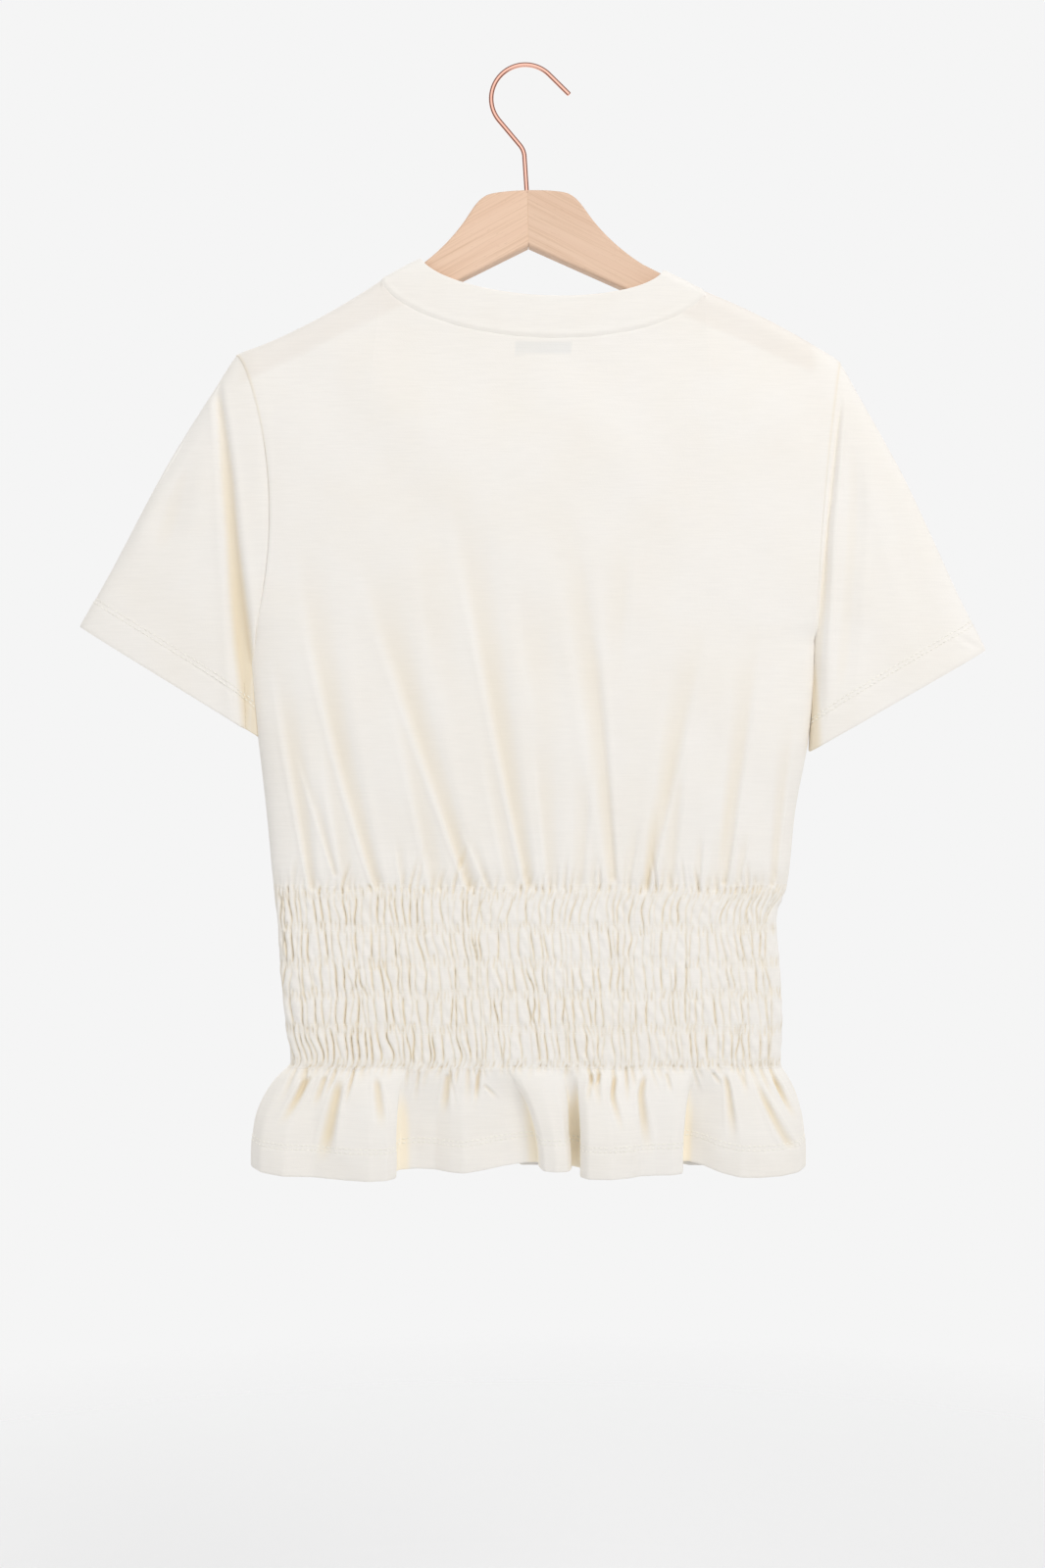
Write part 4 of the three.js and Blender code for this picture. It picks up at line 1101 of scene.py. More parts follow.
PEPLUM_CREASES = {
    Side.BACK: (
        nick(((-143.6, -677), (-163.4, -712.5)), (3.7, 1.7), (1.9, 3.1)),
        nick(((-133, -677), (-141, -700)), (2.4, 1.3), (1.6, 2.5)),
        nick(((-123, -677), (-135.6, -737)), (3.0, 3.1), (2.5, 5.0), (0.2, 0.4)),
        nick(((-99.3, -677), (-94, -714)), (2.4, 1.7), (1.9, 3.7), (0.2, 0.5)),
        nick(((-51, -675), (-55, -707)), (2.8, 1.7), (1.9, 3.1)),
        nick(((-32, -675), (-32.7, -696)), (1.7, 0.8), (1.0, 1.6)),
        nick(((-28, -683), (-18, -694)), (1.4, 0.8), (1.0, 1.6), (0.2, 0.5)),
        nick(((44.6, -675), (41.3, -696)), (2.1, 1.0), (1.1, 1.9)),
        nick(((50.5, -675), (45.2, -688)), (1.7, 0.8), (1.0, 1.6)),
        nick(((61, -675), (57.8, -689), (65, -716)), (2.3, 1.3), (1.2, 2.5)),
        nick(((80.2, -675), (76.9, -689), (82.2, -732)), (2.8, 1.8), (1.6, 3.7)),
        nick(((94, -675), (98, -690)), (1.7, 0.8), (1.1, 1.6)),
        nick(((125, -675), (131.7, -685)), (1.7, 0.8), (1.1, 1.6)),
        nick(((133, -675), (135.6, -686), (138.9, -724)), (2.4, 1.4), (1.4, 3.1)),
        nick(((151.5, -675), (158, -690), (168, -710), (177.9, -726)), (3.3, 1.7), (1.6, 3.1), (0.5, 0.1)),
        nick(((164.7, -677), (171.3, -689), (181.2, -709)), (2.4, 1.3), (1.4, 2.5), (0.2, 0.5)),
    ),
    Side.FRONT: (
        nick(((-140, -676), (-156, -714)), (3.0, 1.7), (1.9, 3.1)),
        nick(((-104, -676), (-110, -722)), (2.4, 1.7), (1.9, 3.7)),
        nick(((-58, -676), (-60, -706)), (2.3, 1.3), (1.5, 2.5)),
        nick(((-36, -676), (-34, -700)), (1.7, 1.0), (1.1, 1.9)),
        nick(((2, -676), (6, -716)), (2.4, 1.4), (1.5, 3.1)),
        nick(((24, -676), (31, -700)), (1.7, 1.0), (1.1, 1.9)),
        nick(((62, -676), (68, -712)), (2.4, 1.4), (1.5, 3.1)),
        nick(((112, -676), (118, -716)), (2.4, 1.4), (1.5, 3.1)),
        nick(((128, -676), (136, -700)), (1.7, 1.0), (1.1, 1.9)),
        nick(((158, -676), (172, -712)), (2.8, 1.7), (1.6, 3.1)),
    ),
}


@dataclass
class Peplum:
    """The frill under the smocking, shaped by the lines that its folds follow.

    Attributes:
        side: The side of the garment.
        columns: Columns across it.
        rows: Rows down it.
        hem: Height of the turned and stitched hem.
        lift: How far the hem hangs higher, everywhere and for each millimetre it lies further in.
        swing: How much more it swings, and the distance about which it does.
        puff: How far it swells under the smocking.
        uneven: How uneven it is.
    """

    side: Side
    columns: int = 680
    rows: int = 54
    hem: float = 21.0
    lift: Point = (1.6, 0.12)
    swing: Point = (1.22, 13.0)
    puff: float = 0.4
    uneven: float = 0.35

    def cloth(self) -> Cloth:
        """Shape the wall."""
        garment, side = GARMENT, self.side
        table = np.array(PEPLUM_FOLDS[side], float)
        top_x, hem_x, out, hem_z = table.T
        top_run = np.abs(np.diff(top_x))
        hem_run = np.hypot(np.diff(hem_x), np.diff(out))
        chord = np.append(0, np.cumsum(0.4 * top_run + 0.6 * hem_run))
        s = np.linspace(0, chord[-1], self.columns)
        soft = 1.0 / (chord[-1] / (self.columns - 1))
        top_x, hem_x, out, hem_z = (blurred(np.interp(s, chord, c), soft) for c in table.T)
        out = np.maximum(lerp(self.swing[1], out, self.swing[0]), 0) * smooth(out / 3)
        hem_z = hem_z + self.lift[0] + self.lift[1] * np.maximum(16 - out, 0)

        top_z = SMOCKING_FOOT
        left, right, half = garment.section(np.array(top_z))
        foot = np.interp(top_x, (table[0, 0], table[-1, 0]), (0, 1))
        share = np.linspace(0, 1, self.columns)
        v = spread(np.linspace(0, 1, self.rows), 0.45)[:, None]
        at_side = np.abs(2 * share - 1) ** 4
        ease = lerp(1 - (1 - v) ** 2, 1 - (1 - v) ** 3.2, at_side)
        x = lerp(lerp(left, right, foot), hem_x, ease)
        depth = lerp(half * flat(foot, garment.side_flatness), out, 1 - (1 - v) ** 2.2)
        z = lerp(top_z, hem_z, v) + row_wander(side, 5, x) * (1 - v) ** 3
        middle = stacked(x, side.value * depth, z)
        normals = grid_normals(middle, False, np.array([0, side.value, 0.0]))
        level = normals * (1, 1, 0)
        normals = unit(lerp(level, normals, smooth(v * 9)[..., None]))
        normals[:, 0], normals[:, -1] = (-1, 0, 0), (1, 0, 0)

        from_top = top_z + row_wander(side, 5, x) - z
        from_hem = (1 - v) * (top_z - hem_z)
        to_side = lerp(side_fade(foot), side_fade(share), smooth(v * 4))
        gathers = creased(PEPLUM_CREASES[side] + foot_puckers(side), x, z) * to_side
        puff = self.puff * bell(from_top - 8.0, 6.0) * smooth(from_top / 4)
        drift = self.uneven * Drift(SMOCKING_SEED[side] + 8, (25, 70), (30, 80)).at(x, z)
        stitched = hem_relief(from_hem, self.hem)
        relief = gathers + (puff + drift * smooth(from_top / 15)) * to_side + stitched
        thickness = hem_wall(from_hem, self.hem, 0.7)
        # Masks: painted shade in the creases, and painted warm light in the shade under the flaps.
        shut = self._under_flaps(x, depth)
        notes = {"fold": np.clip(-gathers / DEEP_CREASE, 0, 1), "shut": shut}
        return Cloth(middle, normals, relief, thickness, side=side, inner=(3, 3), notes=notes)

    @staticmethod
    def _under_flaps(x: Array, depth: Array) -> Array:
        """Find how far each point is shut in by a fold that stands out next to it.

        Args:
            x: X of the grid.
            depth: How far it stands out of the middle plane.

        Returns:
            0 in the open to 1 right under a deep fold; it masks the painted warm light.
        """
        most = np.zeros(depth.shape)
        for step in range(2, 26, 2):
            for shift in (-step, step):
                near = np.roll(depth, shift, axis=1)
                gap = np.abs(np.roll(x, shift, axis=1) - x)
                most = np.maximum(most, (near - depth - 1.1 * gap - 0.8) / 6.0)
        return np.stack([blurred(row, 1.5) for row in np.clip(most, 0, 1)])


# ---------- sleeves, neckband, label ----------


@dataclass(frozen=True)
class Cuff:
    """A sleeve's hem: the end of its outer fold, the end of its underarm fold and half its depth."""

    outer: Point
    inner: Point
    depth: float = 13.0


CUFFS = {
    Hand.LEFT: Cuff((-299, -377.2), (-179.4, -451.0)),
    Hand.RIGHT: Cuff((309.5, -393.0), (191.8, -460.8)),
}
LEFT_BACK_DRAPES = (
    Crease(
        (
            (-209, -200), (-203, -235), (-199, -275), (-194.5, -330), (-189.5, -385),
            (-184.0, -430), (-180.5, -462),
        ),
        (2.5, 9.5), (3.0, 8.0), 0.12, 0.0, (0.14, 0.02), 3.0,
    ),
    Crease(((-218.8, -232), (-254.4, -288), (-281.7, -343)), (1.5, 1.2), (6, 8), 0.4, fade=(0.4, 0.4)),
    Crease(((-222, -240), (-235.7, -298), (-251, -353)), (1.6, 1.8), (9, 11), 0.4, fade=(0.4, 0.4)),
)
RIGHT_BACK_DRAPES = (
    Crease(
        ((211, -215), (206, -262), (200.5, -321), (197, -386), (194.5, -448)),
        (4.0, 2.6), (3.2, 5.5), 0.25, -0.2, (0.12, 0.15),
    ),
    Crease(((219, -208), (219, -300), (214, -380), (208, -446)), (1.5, 1.8), (6, 7), 0.35, fade=(0.3, 0.2)),
    Crease(((226, -225), (246, -300), (262, -360), (270, -404)), (1.0, 1.2), (8, 9), 0.4, fade=(0.4, 0.4)),
    Crease(((290, -383), (303, -394)), (1.0, 1.0), (2.5, 3.0), 0.4, fade=(0.4, 0.4)),
)
LEFT_FRONT_DRAPES = (
    Crease(
        ((-207, -205), (-203, -260), (-200, -320), (-195, -385), (-190, -455)),
        (3.0, 6.5), (4, 7), 0.25, 0.2, (0.2, 0.04),
    ),
    Crease(((-222, -240), (-244, -300), (-262, -362)), (1.5, 1.5), (8, 9), 0.4, fade=(0.4, 0.4)),
)
RIGHT_FRONT_DRAPES = (
    Crease(
        ((214, -215), (210, -262), (206, -321), (201, -386), (198, -458)),
        (3.5, 5.0), (3.5, 6.5), 0.25, -0.2, (0.2, 0.05),
    ),
    Crease(((228, -235), (250, -300), (268, -370)), (1.4, 1.4), (8, 9), 0.4, fade=(0.4, 0.4)),
)
# The folds of each sleeve's back and front.
DRAPES = {
    Hand.LEFT: (LEFT_BACK_DRAPES, LEFT_FRONT_DRAPES),
    Hand.RIGHT: (RIGHT_BACK_DRAPES, RIGHT_FRONT_DRAPES),
}


def tucked(middle: Array, normals: Array, tuck: Point) -> Array:
    """Find the edge of a piece that runs on under its neighbour at a seam.

    Args:
        middle: The grid of the piece, its seam first.
        normals: The direction out of the cloth.
        tuck: How far it runs on, and how far under.

    Returns:
        The row of points of that edge.
    """
    away = middle[2] - middle[0]
    along = unit(np.roll(middle[0], -1, axis=0) - np.roll(middle[0], 1, axis=0))
    away = unit(away - along * np.sum(away * along, axis=-1, keepdims=True))
    return middle[0] - away * tuck[0] - normals[0] * tuck[1]


@dataclass
class Sleeve:
    """A short sleeve with an open, stitched cuff.

    Attributes:
        hand: The hand of the sleeve.
        columns: Columns round it.
        rows: Rows from its seam to its cuff.
        hem: Height of the turned and stitched hem.
        cap: How high its head stands over the seam, and over what share of the way round.
        tuck: How far its seam edge runs on under the body, and how far under.
    """

    hand: Hand
    columns: int = 384
    rows: int = 92
    hem: float = 22.0
    cap: Point = (4.0, 0.3)
    tuck: Point = (3.0, 1.5)

    def cloth(self) -> Cloth:
        """Shape the wall."""
        garment, cuff, outward = GARMENT, CUFFS[self.hand], self.hand.value
        half = self.columns // 2
        steps = spread(np.arange(half) / half, 0.8)
        s = np.concatenate([steps, 1 - steps])
        side = np.where(np.arange(self.columns) < half, -1.0, 1.0)
        t = spread(np.linspace(0, 1, self.rows), 0.3)
        t = np.concatenate([[0, 0.0001], t[1:]])[:, None]
        start_x, start_z, start_depth = garment.armhole(self.hand, s)
        end_x = lerp(cuff.outer[0], cuff.inner[0], s)
        end_z = lerp(cuff.outer[1], cuff.inner[1], s)
        height, reach = self.cap
        cap = height * np.sin(np.pi * t) ** 2 * (1 - t) * smooth(1 - s / reach)
        x = lerp(start_x, end_x, t) + outward * cap
        z = lerp(start_z, end_z, t) + cap
        open_end = cuff.depth * flat(s, garment.armhole_flatness)
        depth = np.maximum(lerp(start_depth, open_end, t), 0)
        run = float(np.linalg.norm(np.subtract(cuff.outer, (start_x[0], start_z[0]))))
        from_hem = (1 - t) * lerp(run, run * 0.36, s)
        from_seam = t * lerp(run, run * 0.36, s)
        from_fold = np.minimum(s, 1 - s) * 190
        folds = np.where(side < 0, *(creased(drapes, x, z) for drapes in DRAPES[self.hand]))
        folds = folds * smooth(from_seam / 12) * roll(from_fold / 6)
        folds = np.maximum(folds, -np.maximum(0.9 * depth - 2.6, 0))
        middle = stacked(x, side * (depth + folds), z)
        rough = stacked(np.zeros_like(x), np.broadcast_to(side, x.shape), np.zeros_like(x))
        normals = grid_normals(middle, True, rough)
        turned = flat(s, garment.armhole_flatness)
        for column_side in Side:
            mine = (side == column_side.value) & (s <= 0.5)
            found = seam_normal(column_side, np.full_like(s, outward), 1 - s, turned)
            normals[0][mine] = found[mine]
        middle[0] = tucked(middle, normals, self.tuck)

        seed = 31 if self.hand is Hand.LEFT else 32
        drift = 0.4 * Drift(seed, (40, 110), (50, 150)).at(x + side * 40, z) * roll(from_fold / 15)
        groove = -0.7 * bell(from_seam, 5.0)
        stitched = hem_relief(from_hem, self.hem)
        relief = drift * smooth(from_seam / 15) + groove + stitched
        thickness = np.broadcast_to(hem_wall(from_hem, self.hem, 0.6), x.shape)
        # Masks for painted shade: on the underside by the body, in the drapes' troughs and as a thin dark
        # line at the armhole seam; show-through shade over the arms.
        shaded = 0.85 * smooth((s - 0.92) / 0.05) * smooth((t - 0.15) / 0.3)
        fold = np.maximum(np.clip((-folds - 1.0) / 5.5, 0, 1), shaded)
        fold = np.maximum(fold, 0.3 * bell(from_seam, 0.5) * (1 - s) ** 1.2)
        notes = {"fold": fold, "wood_behind": wood_behind(x, z)}
        return Cloth(middle, normals, relief, thickness, True, notes=notes)


@dataclass
class Neckband:
    """The folded band round the neck.

    Attributes:
        thickness: Of the folded cloth.
        tuck: How far its seam edge runs on under the panels, and how far under.
        columns: Columns round it.
        rows: Rows from its seam to its free edge.
    """

    thickness: float = 2.0
    tuck: Point = (2.5, 1.7)
    columns: int = 320
    rows: int = 24

    def cloth(self) -> Cloth:
        """Shape the wall."""
        garment = GARMENT
        half = self.columns // 2
        steps = spread(np.arange(half) / half, garment.neck_spread)
        angle = np.pi * np.concatenate([steps, 1 - steps])
        is_back = np.arange(self.columns) < half
        rails, turns = [], []
        for seam in (True, False):
            found = [garment.neck_rail(side, seam, angle) for side in Side]
            x, z, rolled = (np.where(is_back, b, f) for b, f in zip(*found))
            y = np.where(is_back, -1, 1) * garment.shoulder_depth * rolled
            rails.append(stacked(x, y, z))
            up = np.sign(x - SHOULDER_MIDDLE) * SHOULDER_SLOPE
            both = [seam_normal(side, up, np.ones_like(up), rolled) for side in Side]
            turns.append(np.where(is_back[:, None], both[0], both[1]))
        seam, edge = rails
        w = spread(np.linspace(0, 1, self.rows), 0.6)
        w = np.concatenate([[0, 0.002], w[1:]])
        middle = lerp(seam[None], edge[None], w[:, None, None])
        normals = unit(lerp(turns[0][None], turns[1][None], w[:, None, None]))
        middle[0] = tucked(middle, normals, self.tuck)
        width = np.linalg.norm(edge - seam, axis=-1)
        from_seam, from_edge = w[:, None] * width, (1 - w[:, None]) * width
        turned = np.minimum(width / 12, 1)
        ridge = 0.35 * bell(from_seam - 2.6, 1.5) - 0.35 * bell(from_seam, 1.1)
        crown = 0.25 * np.sin(np.pi * w)[:, None]
        drift = 0.12 * Drift(52, (14, 40), (20, 60)).at(middle[..., 0], middle[..., 2])
        relief = (ridge + crown + drift) * turned
        thickness = self.thickness * roll(np.clip(from_edge / 1.1, 0.1, 1))
        return Cloth(middle, normals, relief, thickness, True)


@dataclass
class Label:
    """A plain woven label with folded ends, sewn inside the back of the neck.

    Attributes:
        size: Its width and height.
        thickness: Of the folded cloth.
        middle_x: X of its middle.
        top_z: Z of its top edge.
        depth: How far it lies behind the middle plane.
    """

    size: Point = (38.0, 9.0)
    thickness: float = 0.9
    middle_x: float = 12.2
    top_z: float = -186.5
    depth: float = 8.1

    def behind(self, x: Array, z: Array) -> Array:
        """Tell where the label lies right behind the cloth, 0 to 1: the mask of its painted shade."""
        across = self.size[0] / 2 + 0.6 - np.abs(x - self.middle_x)
        down = self.size[1] / 2 + 0.6 - np.abs(z - self.top_z + self.size[1] / 2)
        return smooth(across / 1.6) * smooth(down / 1.6)

    def cloth(self) -> Cloth:
        """Shape the wall."""
        across = np.linspace(-0.5, 0.5, 72) * self.size[0]
        down = np.linspace(0, 1, 22)[:, None] * self.size[1]
        x, z = self.middle_x + across, self.top_z - down
        middle = stacked(x, np.array(-self.depth), z)
        normals = stacked(np.zeros(middle.shape[:2]), np.array(1.0), np.array(0.0))
        ends = np.abs(across) - self.size[0] / 2
        relief = -0.12 * bell(ends + 3.2, 0.5) + 0.05 * np.cos(across / 3.1) * np.ones_like(down)
        edge = np.minimum(-ends, np.minimum(down, self.size[1] - down))
        thickness = self.thickness * roll(np.clip(edge / 0.4, 0.3, 1))
        return Cloth(middle, normals, relief, thickness)


# ---------- stitches ----------


def traced(points: Array, marks: Array, wanted: Array) -> Array:
    """Find where each column of a grid comes to a mark.

    Args:
        points: The grid.
        marks: A value at each point, which rises along each column.
        wanted: The value to find in each column.

    Returns:
        One point for each column.
    """
    line = np.empty((points.shape[1], 3))
    for c, value in enumerate(wanted):
        line[c] = [np.interp(value, marks[:, c], points[:, c, k]) for k in range(3)]
    return line


def line_from_edge(cloth: Cloth, distance: float, lift: float = 0.05) -> Array:
    """Find the line a little over a piece's outer face at a distance above its last row."""
    back = (cloth.outside() + cloth.normals * lift)[::-1]
    up = np.linalg.norm(np.diff(back, axis=0, prepend=back[:1]), axis=-1).cumsum(axis=0)
    return traced(back, up, np.full(back.shape[1], distance))


def line_at_height(cloth: Cloth, height: Array) -> Array:
    """Find the line on a piece's outer face at a height for each column."""
    outer = cloth.outside()
    return traced(outer, -outer[..., 2], -height)


@dataclass
class Stitching:
    """Rows of thread laid along lines on the cloth by Geometry Nodes.

    Attributes:
        name: Name of the piece.
        lines: The lines, each an array of points.
        pitch: Distance between stitches.
        length: Length of a stitch.
        thick: Thickness of the thread.
        seed: Fixes the unevenness.
        closed: Whether each line is a ring.
    """

    name: str
    lines: list[Array]
    pitch: float = 3.4
    length: float = 2.8
    thick: float = 0.8
    seed: int = 4
    closed: bool = False

    def build(self, material: bpy.types.Material) -> bpy.types.Object:
        """Make the stitches as one plain mesh.

        Args:
            material: The finish of the thread.

        Returns:
            The new object.
        """
        points, edges = [], []
        for line in self.lines:
            first = len(points)
            points += (line * MM).tolist()
            edges += [(i, i + 1) for i in range(first, len(points) - 1)]
            if self.closed:
                edges.append((len(points) - 1, first))
        guide = placed(self.name, meshed(self.name + "_line", points, [], edges))
        tree, inputs = self._tree(material)
        modifier = guide.modifiers.new("stitches", "NODES")
        modifier.node_group = tree
        sizes = {"Pitch": self.pitch * MM, "Length": self.length * MM, "Thickness": self.thick * MM}
        for label, value in sizes.items():
            modifier[inputs[label]] = value
        modifier[inputs["Seed"]] = self.seed
        graph = bpy.context.evaluated_depsgraph_get()
        made = bpy.data.meshes.new_from_object(guide.evaluated_get(graph))
        guide.modifiers.remove(modifier)
        guide.data = made
        made.name = self.name
        made.polygons.foreach_set("use_smooth", [True] * len(made.polygons))
        return guide

    def _tree(self, material: bpy.types.Material) -> tuple[bpy.types.NodeTree, dict[str, str]]:
        """Build the node tree and return it with its inputs' identifiers."""
        tree = bpy.data.node_groups.new(self.name + "_nodes", "GeometryNodeTree")
        face = tree.interface
        face.new_socket("Geometry", in_out="INPUT", socket_type="NodeSocketGeometry")
        kinds = {"Pitch": "Float", "Length": "Float", "Thickness": "Float", "Seed": "Int"}
        inputs = {
            label: face.new_socket(label, in_out="INPUT", socket_type="NodeSocket" + kind).identifier
            for label, kind in kinds.items()
        }
        face.new_socket("Geometry", in_out="OUTPUT", socket_type="NodeSocketGeometry")
        n = Nodes(tree)
        given = n.add("NodeGroupInput").outputs
        curve = n.add("GeometryNodeMeshToCurve", {0: given["Geometry"]}).outputs[0]
        dots = n.add("GeometryNodeCurveToPoints", mode="LENGTH")
        n.put(dots, "Curve", curve)
        n.put(dots, "Length", given["Pitch"])
        bead = {"Segments": 5, "Rings": 3, "Radius": 0.5}
        shape = n.add("GeometryNodeMeshUVSphere", bead).outputs[0]
        uneven = n.add("FunctionNodeRandomValue", data_type="FLOAT")
        for key, value in ((2, 0.82), (3, 1.12), ("Seed", given["Seed"])):
            n.put(uneven, key, value)
        long = {0: given["Length"], 1: uneven.outputs[1]}
        long = n.add("ShaderNodeMath", long, operation="MULTIPLY").outputs[0]
        size = {"X": given["Thickness"], "Y": given["Thickness"], "Z": long}
        place = {
            "Points": dots.outputs["Points"],
            "Rotation": dots.outputs["Rotation"],
            "Instance": shape,
            "Scale": n.add("ShaderNodeCombineXYZ", size).outputs[0],
        }
        placed_beads = n.add("GeometryNodeInstanceOnPoints", place).outputs[0]
        solid = n.add("GeometryNodeRealizeInstances", {0: placed_beads}).outputs[0]
        dressed = n.add("GeometryNodeSetMaterial", {"Geometry": solid, "Material": material}).outputs[0]
        n.put(n.add("NodeGroupOutput"), 0, dressed)
        return tree, inputs


# ---------- finishes ----------


class Nodes:
    """A node tree, with short ways to add nodes and join them."""

    def __init__(self, tree: bpy.types.NodeTree) -> None:
        """Take a tree to work in."""
        self.tree = tree

    def add(self, kind: str, values: dict | None = None, **options: object) -> bpy.types.Node:
        """Add a node.

        Args:
            kind: Its type.
            values: Inputs by name, each a value or another node's output.
            options: Its settings.

        Returns:
            The node.
        """
        node = self.tree.nodes.new(kind)
        for key, value in options.items():
            setattr(node, key, value)
        for key, value in (values or {}).items():
            self.put(node, key, value)
        return node

    def put(self, node: bpy.types.Node, key: str | int, value: object) -> None:
        """Give a node's input a value or another node's output."""
        if isinstance(value, bpy.types.NodeSocket):
            self.tree.links.new(value, node.inputs[key])
        else:
            node.inputs[key].default_value = value

    def where(self, turn: Vec = (0, 0, 0), scale: Vec = (1, 1, 1)) -> Socket:
        """Return Object coordinates, turned and scaled."""
        here = self.add("ShaderNodeTexCoord").outputs["Object"]
        return self.stretched(here, scale, turn)

    def stretched(self, vector: Socket, scale: Vec, turn: Vec = (0, 0, 0)) -> Socket:
        """Return a vector, turned and scaled."""
        values = {"Vector": vector, "Scale": scale, "Rotation": turn}
        return self.add("ShaderNodeMapping", values).outputs[0]

    def noise(self, vector: Socket, detail: float) -> Socket:
        """Return a noise value along a vector."""
        values = {"Vector": vector, "Scale": 1.0, "Detail": detail, "Roughness": 0.55}
        return self.add("ShaderNodeTexNoise", values).outputs[0]

    def fit(self, value: Socket, low: Point, high: Point) -> Socket:
        """Bring a value from one range to another."""
        values = {"Value": value, 1: low[0], 2: low[1], 3: high[0], 4: high[1]}
        return self.add("ShaderNodeMapRange", values).outputs[0]

    def ramp(self, value: Socket, stops: tuple[tuple[float, Vec], ...]) -> Socket:
        """Turn a value into a colour by two stops, each a place and its colour."""
        node = self.add("ShaderNodeValToRGB", {0: value})
        for stop, (place, colour) in zip(node.color_ramp.elements, stops):
            stop.position, stop.color = place, colour
        return node.outputs[0]

    def blend(self, share: object, first: object, second: object, mode: str = "MIX") -> Socket:
        """Mix two colours by a share."""
        node = self.add("ShaderNodeMix", data_type="RGBA", blend_type=mode)
        self.put(node, 0, share)
        self.put(node, 6, first)
        self.put(node, 7, second)
        return node.outputs[2]

    def attribute(self, name: str) -> Socket:
        """Return a value that the piece carries at each point."""
        return self.add("ShaderNodeAttribute", attribute_name=name).outputs["Fac"]

    def bump(self, height: Socket, strength: float, distance: float, under: object = None) -> Socket:
        """Return normals bumped by a height."""
        values = {"Height": height, "Strength": strength, "Distance": distance}
        if under is not None:
            values["Normal"] = under
        return self.add("ShaderNodeBump", values).outputs[0]


class Shader(Nodes):
    """A material's node tree and its Principled shader."""

    def __init__(self, name: str) -> None:
        """Start a material."""
        self.material = bpy.data.materials.new(name)
        self.material.use_nodes = True
        super().__init__(self.material.node_tree)
        self.shader = self.tree.nodes["Principled BSDF"]

    def finished(self, inputs: dict[str, object]) -> bpy.types.Material:
        """Give the shader its inputs and return the material."""
        for key, value in inputs.items():
            self.put(self.shader, key, value)
        return self.material


@dataclass(frozen=True)
class Jersey:
    """Cream cotton jersey with fine uneven rows in its yarn, matt and a little fuzzy.

    Attributes:
        colour: Its own colour.
        deep: Painted shade in folds, where light crosses the cloth several times; random patches lean to it.
        fold_shade_weight: How strongly the folds take that colour.
        shut_in: Painted warm light right under a fold that stands out, for light through the cloth.
        over_wood: Painted show-through shade where the hanger's arms lie behind the cloth.
        over_label: The same painted shade, for the label.
        roughness: How matt it is.
    """

    name: str = "cream_jersey"
    colour: Vec = (0.90, 0.87, 0.825, 1)
    deep: Vec = (0.80, 0.66, 0.42, 1)
    fold_shade_weight: float = 0.62
    shut_in: Vec = (0.96, 0.88, 0.73, 1)
    over_wood: Vec = (0.965, 0.95, 0.94, 1)
    over_label: Vec = (0.93, 0.945, 0.96, 1)
    roughness: float = 0.92

    def material(self) -> bpy.types.Material:
        """Make the material."""
        s = Shader(self.name)
        rows = s.noise(s.where(scale=(60, 60, 1100)), 2.0)
        patches = s.noise(s.where(scale=(18, 18, 18)), 3.0)
        yarn = s.fit(rows, (0.3, 0.7), (0.982, 1.01))
        colour = s.blend(s.fit(patches, (0.35, 0.65), (0.0, 0.06)), self.colour, self.deep)
        yarn = s.add("ShaderNodeCombineColor", {0: yarn, 1: yarn, 2: yarn}).outputs[0]
        colour = s.blend(1.0, colour, yarn, "MULTIPLY")
        # Painted shade in folds: the fold mask tints the cloth tan where light would cross it several times.
        sunk = s.fit(s.attribute("fold"), (0.0, 1.0), (0.0, self.fold_shade_weight))
        colour = s.blend(sunk, colour, self.deep)
        # Painted warm light under flaps, by the shut mask, for light coming through the cloth.
        colour = s.blend(s.attribute("shut"), colour, self.shut_in)
        # Painted show-through shade where the hanger's arms and the label lie behind the cloth.
        for note, tone in (("wood_behind", self.over_wood), ("label_behind", self.over_label)):
            colour = s.blend(s.attribute(note), colour, s.blend(1.0, colour, tone, "MULTIPLY"))
        uv = s.add("ShaderNodeUVMap", uv_map="cloth").outputs[0]
        knit = s.noise(s.stretched(uv, (900, 620, 1)), 2.0)
        return s.finished({
            "Base Color": colour,
            "Roughness": self.roughness,
            "Sheen Weight": 0.18,
            "Sheen Roughness": 0.6,
            "Specular IOR Level": 0.18,
            "Normal": s.bump(knit, 0.22, 0.0003, s.bump(rows, 0.1, 0.0003)),
        })


@dataclass(frozen=True)
class Woven:
    """Thread or a weave whose strands shade it.

    Attributes:
        name: Name of the material.
        scale: How fine the strands are each way, per metre.
        first: Its colour.
        second: The colour of its shaded strands.
        shaded: How much of that they take at most.
        roughness: How matt it is.
        sheen: How fuzzy it is.
        relief: How far the strands stand out, as a strength.
    """

    name: str
    scale: Vec
    first: Vec
    second: Vec
    shaded: float
    roughness: float
    sheen: float
    relief: float

    def material(self) -> bpy.types.Material:
        """Make the material."""
        s = Shader(self.name)
        strands = s.noise(s.where(scale=self.scale), 2.0)
        shade = s.fit(strands, (0.3, 0.7), (0.0, self.shaded))
        return s.finished({
            "Base Color": s.blend(shade, self.first, self.second),
            "Roughness": self.roughness,
            "Sheen Weight": self.sheen,
            "Normal": s.bump(strands, self.relief, 0.0002),
        })


# Cream sewing thread with a twist, and the label's satin.
THREAD = Woven(
    "cream_thread", (2500, 2500, 2500), (0.96, 0.94, 0.87, 1), (0.80, 0.74, 0.62, 1), 0.25, 0.6, 0.1, 0.3
)
SATIN = Woven(
    "label_satin", (300, 300, 3500), (0.66, 0.66, 0.65, 1), (0.74, 0.73, 0.71, 1), 1.0, 0.42, 0.2, 0.25
)


